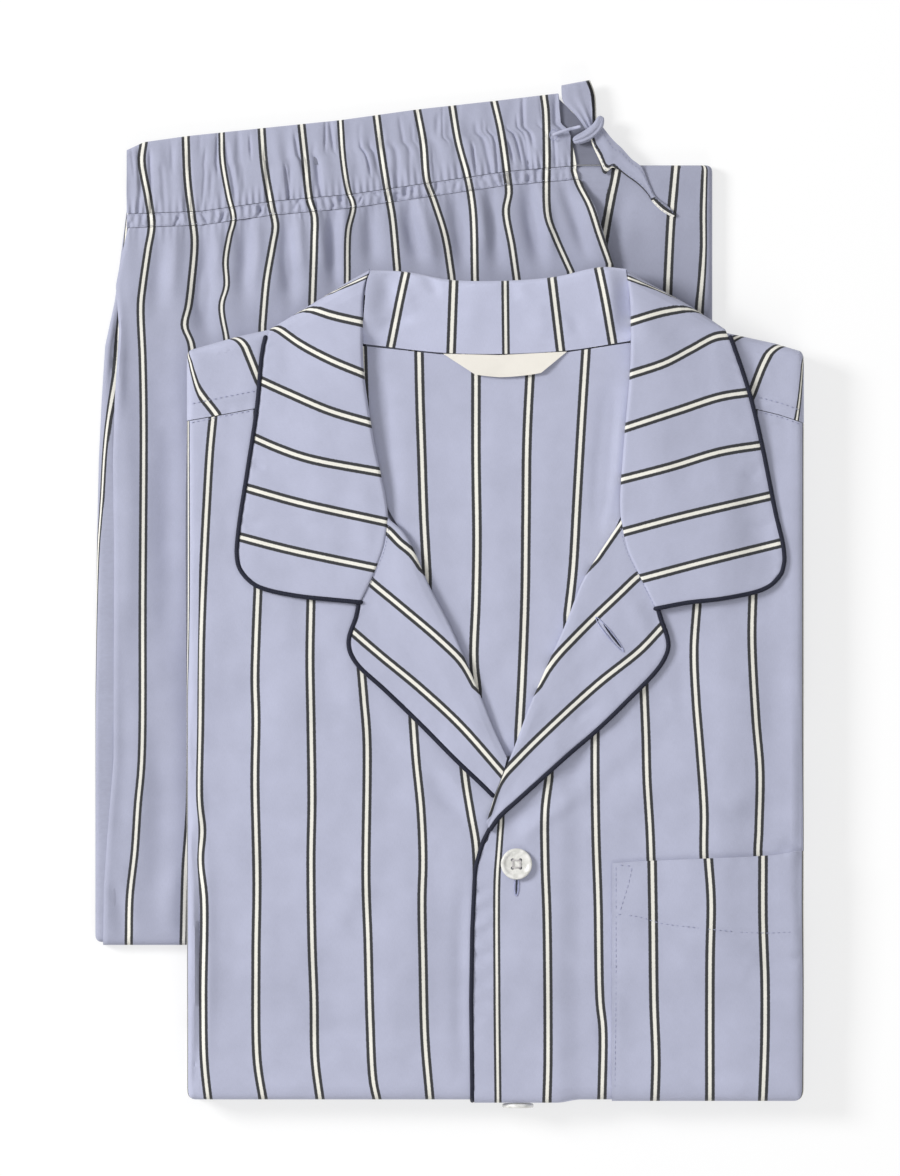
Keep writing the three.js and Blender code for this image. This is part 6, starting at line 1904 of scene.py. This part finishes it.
def make_stitching():
    thread = sewing_thread()
    pocket = points_of(bpy.data.objects["Pocket"].data)
    on_pocket = height_over(pocket[:len(pocket) // 2] / MM)

    def on_shoulder(x, y):
        return jacket_top(x, y) + crease_height("shoulders", x, y, settings().crease_depth) + 0.1

    def lay(points, surface, lift=0.12):
        xy = Line(plan(points)).spaced(4.0)
        return np.concatenate([xy, (surface(xy[:, 0], xy[:, 1]) + lift)[:, None]], 1)

    runs = [
        lay([(616, 866), (616, 920), (616, 1000), (615, 1088)], on_pocket),
        lay([(617, 914), (640, 917), (660, 923), (700, 928), (740, 932), (768, 933), (792, 932)], on_pocket),
        lay([(618, 865), (632, 866)], on_pocket),
        lay([(632, 867), (629, 882), (626, 892), (620, 911)], on_pocket),
    ]
    sew("PocketStitching", runs, thread)
    runs = [
        lay([(191, 404), (215, 399), (240, 394), (256, 391)], on_shoulder),
        lay([(758, 397), (780, 403), (800, 410)], on_shoulder),
        lay([(190, 423), (215, 418), (240, 413), (256, 410)], front_surface),
        lay([(758, 412), (780, 417), (800, 424)], front_surface),
    ]
    sew("ShoulderStitching", runs, thread)
    ruffle = points_of(bpy.data.objects["WaistbandRuffle"].data)
    runs = [(ruffle[row * RUFFLE_COLUMNS:(row + 1) * RUFFLE_COLUMNS] / MM + [0, 0, 0.1])[::3] for row in (1, 9)]
    band_thread = thread_material("Waistband thread", tone(settings().ground, 0.92))
    sew("WaistbandStitching", runs, band_thread, pitch=2.6, length=1.7, wide=0.34, high=0.2)
    runs = [LEAF_GRIDS[key][1, 9:-1] + [0, 0, 0.12] for key in ("lapel_left", "lapel_right")]
    sew("GorgeStitching", runs, thread, pitch=2.2, length=1.5, wide=0.35, high=0.3)


# ---------------------------------------------------------------- stage

FLOOR_HALF, FLOOR_LEVEL = 6.0, -0.0002
FLOOR_GLOW = 0.67
ROOM_LIGHT = 0.4
SENSOR = 36
CAMERA_HEIGHT, FOCUS_HEIGHT = 8.0, 0.028


def soft_light(name, place, size, power):
    """A square lamp that looks at the set's middle."""
    data = bpy.data.lights.new(name, "AREA")
    data.shape = "SQUARE"
    data.size = size
    data.energy = power
    obj = place_object(name, data)
    obj.location = place
    obj.rotation_mode = "QUATERNION"
    obj.rotation_quaternion = (-Vector(place)).to_track_quat("-Z", "Y")
    obj.visible_camera = False


def make_stage():
    corners = [(x * FLOOR_HALF, y * FLOOR_HALF, FLOOR_LEVEL) for x, y in ((-1, -1), (1, -1), (1, 1), (-1, 1))]
    mesh = bpy.data.meshes.new("stage_floor")
    mesh.from_pydata(corners, [], [(0, 1, 2, 3)])
    floor = place_object("stage_floor", mesh)
    material, tree, shader = new_material("Pale paper floor", 0.95, specular=0.1)
    shader.inputs["Emission Color"].default_value = (1, 1, 1, 1)
    shader.inputs["Emission Strength"].default_value = FLOOR_GLOW
    coordinates = tree.nodes.new("ShaderNodeTexCoord")
    two_tone(tree, shader, noise_over(tree, coordinates.outputs["Object"], 3.0), (0.31,) * 3, (0.33,) * 3)
    mesh.materials.append(material)
    world = bpy.data.worlds.new("Soft studio")
    world.use_nodes = True
    background = world.node_tree.nodes["Background"]
    background.inputs["Color"].default_value = (1, 1, 1, 1)
    background.inputs["Strength"].default_value = ROOM_LIGHT
    bpy.context.scene.world = world
    soft_light("KeyLight", (-3.2, 1.2, 2.5), size=1.2, power=152)
    soft_light("FillLight", (0.6, -3.2, 2.6), size=1.6, power=26)
    soft_light("TopLight", (0.5, 0.3, 2.6), size=1.8, power=7)
    data = bpy.data.cameras.new("Camera")
    camera = place_object("Camera", data)
    data.sensor_width = SENSOR
    data.lens = SENSOR * (CAMERA_HEIGHT - FOCUS_HEIGHT) / (GRID_SIZE[1] * STEP * MM)
    data.clip_end = 30
    middle = plan([(GRID_SIZE[0] / 2, GRID_SIZE[1] / 2)])[0] * MM
    camera.location = (middle[0], middle[1], CAMERA_HEIGHT)
    bpy.context.scene.camera = camera
    bpy.context.scene.view_settings.view_transform = "Standard"


# ---------------------------------------------------------------- add-on

class PyjamaSettings(bpy.types.PropertyGroup):
    stripe_repeat: bpy.props.FloatProperty(
        name="Stripe repeat", description="From one stripe's centre to the next", default=0.0305, unit="LENGTH")
    stripe_width: bpy.props.FloatProperty(
        name="Stripe width", description="Whole width of a stripe with both dark lines", default=0.0055, unit="LENGTH")
    ivory_width: bpy.props.FloatProperty(
        name="Ivory width", description="Width of the ivory line inside a stripe", default=0.0019, unit="LENGTH")
    crease_depth: bpy.props.FloatProperty(
        name="Crease depth", description="How deep the creases are; 1 is as worn in", default=1.5, min=0, max=2)
    ground: bpy.props.FloatVectorProperty(
        name="Cloth", description="Ground colour of the cloth", subtype="COLOR", default=(0.45, 0.466, 0.597))
    charcoal: bpy.props.FloatVectorProperty(
        name="Dark line", description="Colour of the dark lines", subtype="COLOR", default=(0.04, 0.041, 0.045))
    ivory: bpy.props.FloatVectorProperty(
        name="Ivory line", description="Colour of the light line", subtype="COLOR", default=(0.83, 0.81, 0.74))
    piping: bpy.props.FloatVectorProperty(
        name="Piping", description="Colour of the corded edge", subtype="COLOR", default=(0.007, 0.009, 0.026))
    label: bpy.props.FloatVectorProperty(
        name="Label", description="Colour of the neck label", subtype="COLOR", default=(0.82, 0.785, 0.715))
    thread: bpy.props.FloatVectorProperty(
        name="Thread", description="Colour of the sewing thread", subtype="COLOR", default=(0.34, 0.36, 0.52))


class PYJAMA_OT_trousers(bpy.types.Operator):
    """Lay the folded legs and the trouser front"""
    bl_idname = "pyjama.trousers"
    bl_label = "Trousers"

    def execute(self, context):
        make_trouser_legs()
        make_trouser_back()
        make_trouser_front()
        return {"FINISHED"}


class PYJAMA_OT_waistband(bpy.types.Operator):
    """Gather the waistband's casing and its stitched ruffle"""
    bl_idname = "pyjama.waistband"
    bl_label = "Waistband"

    def execute(self, context):
        make_back_waist()
        make_casing()
        make_ruffle()
        return {"FINISHED"}


class PYJAMA_OT_tie(bpy.types.Operator):
    """Tie the waist tape: loop, knot, strand and free end"""
    bl_idname = "pyjama.tie"
    bl_label = "Waist tie"

    def execute(self, context):
        make_tie_loop()
        make_tie_knot()
        make_tie_end()
        make_tie_strand()
        return {"FINISHED"}


class PYJAMA_OT_jacket(bpy.types.Operator):
    """Lay the folded jacket body with its fronts, shoulders and back"""
    bl_idname = "pyjama.jacket"
    bl_label = "Jacket panels"

    def execute(self, context):
        make_jacket_body()
        make_back()
        make_shoulder("left")
        make_shoulder("right")
        make_front_left()
        make_front_right()
        return {"FINISHED"}


class PYJAMA_OT_collar(bpy.types.Operator):
    """Turn the collar and the lapels"""
    bl_idname = "pyjama.collar"
    bl_label = "Collar and lapels"

    def execute(self, context):
        make_stand()
        for key, name in LEAF_NAMES.items():
            make_leaf(key, name)
        return {"FINISHED"}


class PYJAMA_OT_piping(bpy.types.Operator):
    """Cord the edges of the collar, the lapels and the front"""
    bl_idname = "pyjama.piping"
    bl_label = "Piping"

    def execute(self, context):
        for key, name in LEAF_NAMES.items():
            collar = key.startswith("collar")
            leaf_piping(key, f"Piping{name}", 0.05 if collar else 0.0, collar)
        make_front_piping()
        return {"FINISHED"}


class PYJAMA_OT_pocket(bpy.types.Operator):
    """Sew on the pocket and the neck label"""
    bl_idname = "pyjama.pocket"
    bl_label = "Pocket and label"

    def execute(self, context):
        make_pocket()
        make_label()
        return {"FINISHED"}


class PYJAMA_OT_buttons(bpy.types.Operator):
    """Sew on the buttons and work the buttonholes"""
    bl_idname = "pyjama.buttons"
    bl_label = "Buttons"

    def execute(self, context):
        make_buttons()
        make_buttonholes()
        return {"FINISHED"}


class PYJAMA_OT_stitching(bpy.types.Operator):
    """Stitch the pocket, the shoulders, the gorge and the waistband"""
    bl_idname = "pyjama.stitching"
    bl_label = "Stitching"

    def execute(self, context):
        make_stitching()
        return {"FINISHED"}


class PYJAMA_OT_stage(bpy.types.Operator):
    """Set the floor, the light and the camera"""
    bl_idname = "pyjama.stage"
    bl_label = "Stage"

    def execute(self, context):
        make_stage()
        return {"FINISHED"}


STEPS = (
    PYJAMA_OT_stage, PYJAMA_OT_trousers, PYJAMA_OT_waistband, PYJAMA_OT_tie, PYJAMA_OT_jacket, PYJAMA_OT_collar,
    PYJAMA_OT_piping, PYJAMA_OT_pocket, PYJAMA_OT_buttons, PYJAMA_OT_stitching,
)


class PYJAMA_PT_panel(bpy.types.Panel):
    """Lists the pieces of the pyjama set"""
    bl_label = "Pyjama set"
    bl_idname = "PYJAMA_PT_panel"
    bl_space_type = "VIEW_3D"
    bl_region_type = "UI"
    bl_category = "Pyjamas"

    def draw(self, context):
        values = context.scene.pyjama_set
        for name in PyjamaSettings.__annotations__:
            self.layout.prop(values, name)
        for step in STEPS:
            self.layout.operator(step.bl_idname)


CLASSES = (PyjamaSettings, *STEPS, PYJAMA_PT_panel)


def register():
    for cls in CLASSES:
        bpy.utils.register_class(cls)
    bpy.types.Scene.pyjama_set = bpy.props.PointerProperty(type=PyjamaSettings)


def unregister():
    del bpy.types.Scene.pyjama_set
    for cls in reversed(CLASSES):
        bpy.utils.unregister_class(cls)


def main():
    register()
    for step in STEPS:
        area, action = step.bl_idname.split(".")
        if getattr(getattr(bpy.ops, area), action)() != {"FINISHED"}:
            raise RuntimeError(f"{step.bl_label} didn't finish")


if __name__ == "__main__":
    main()
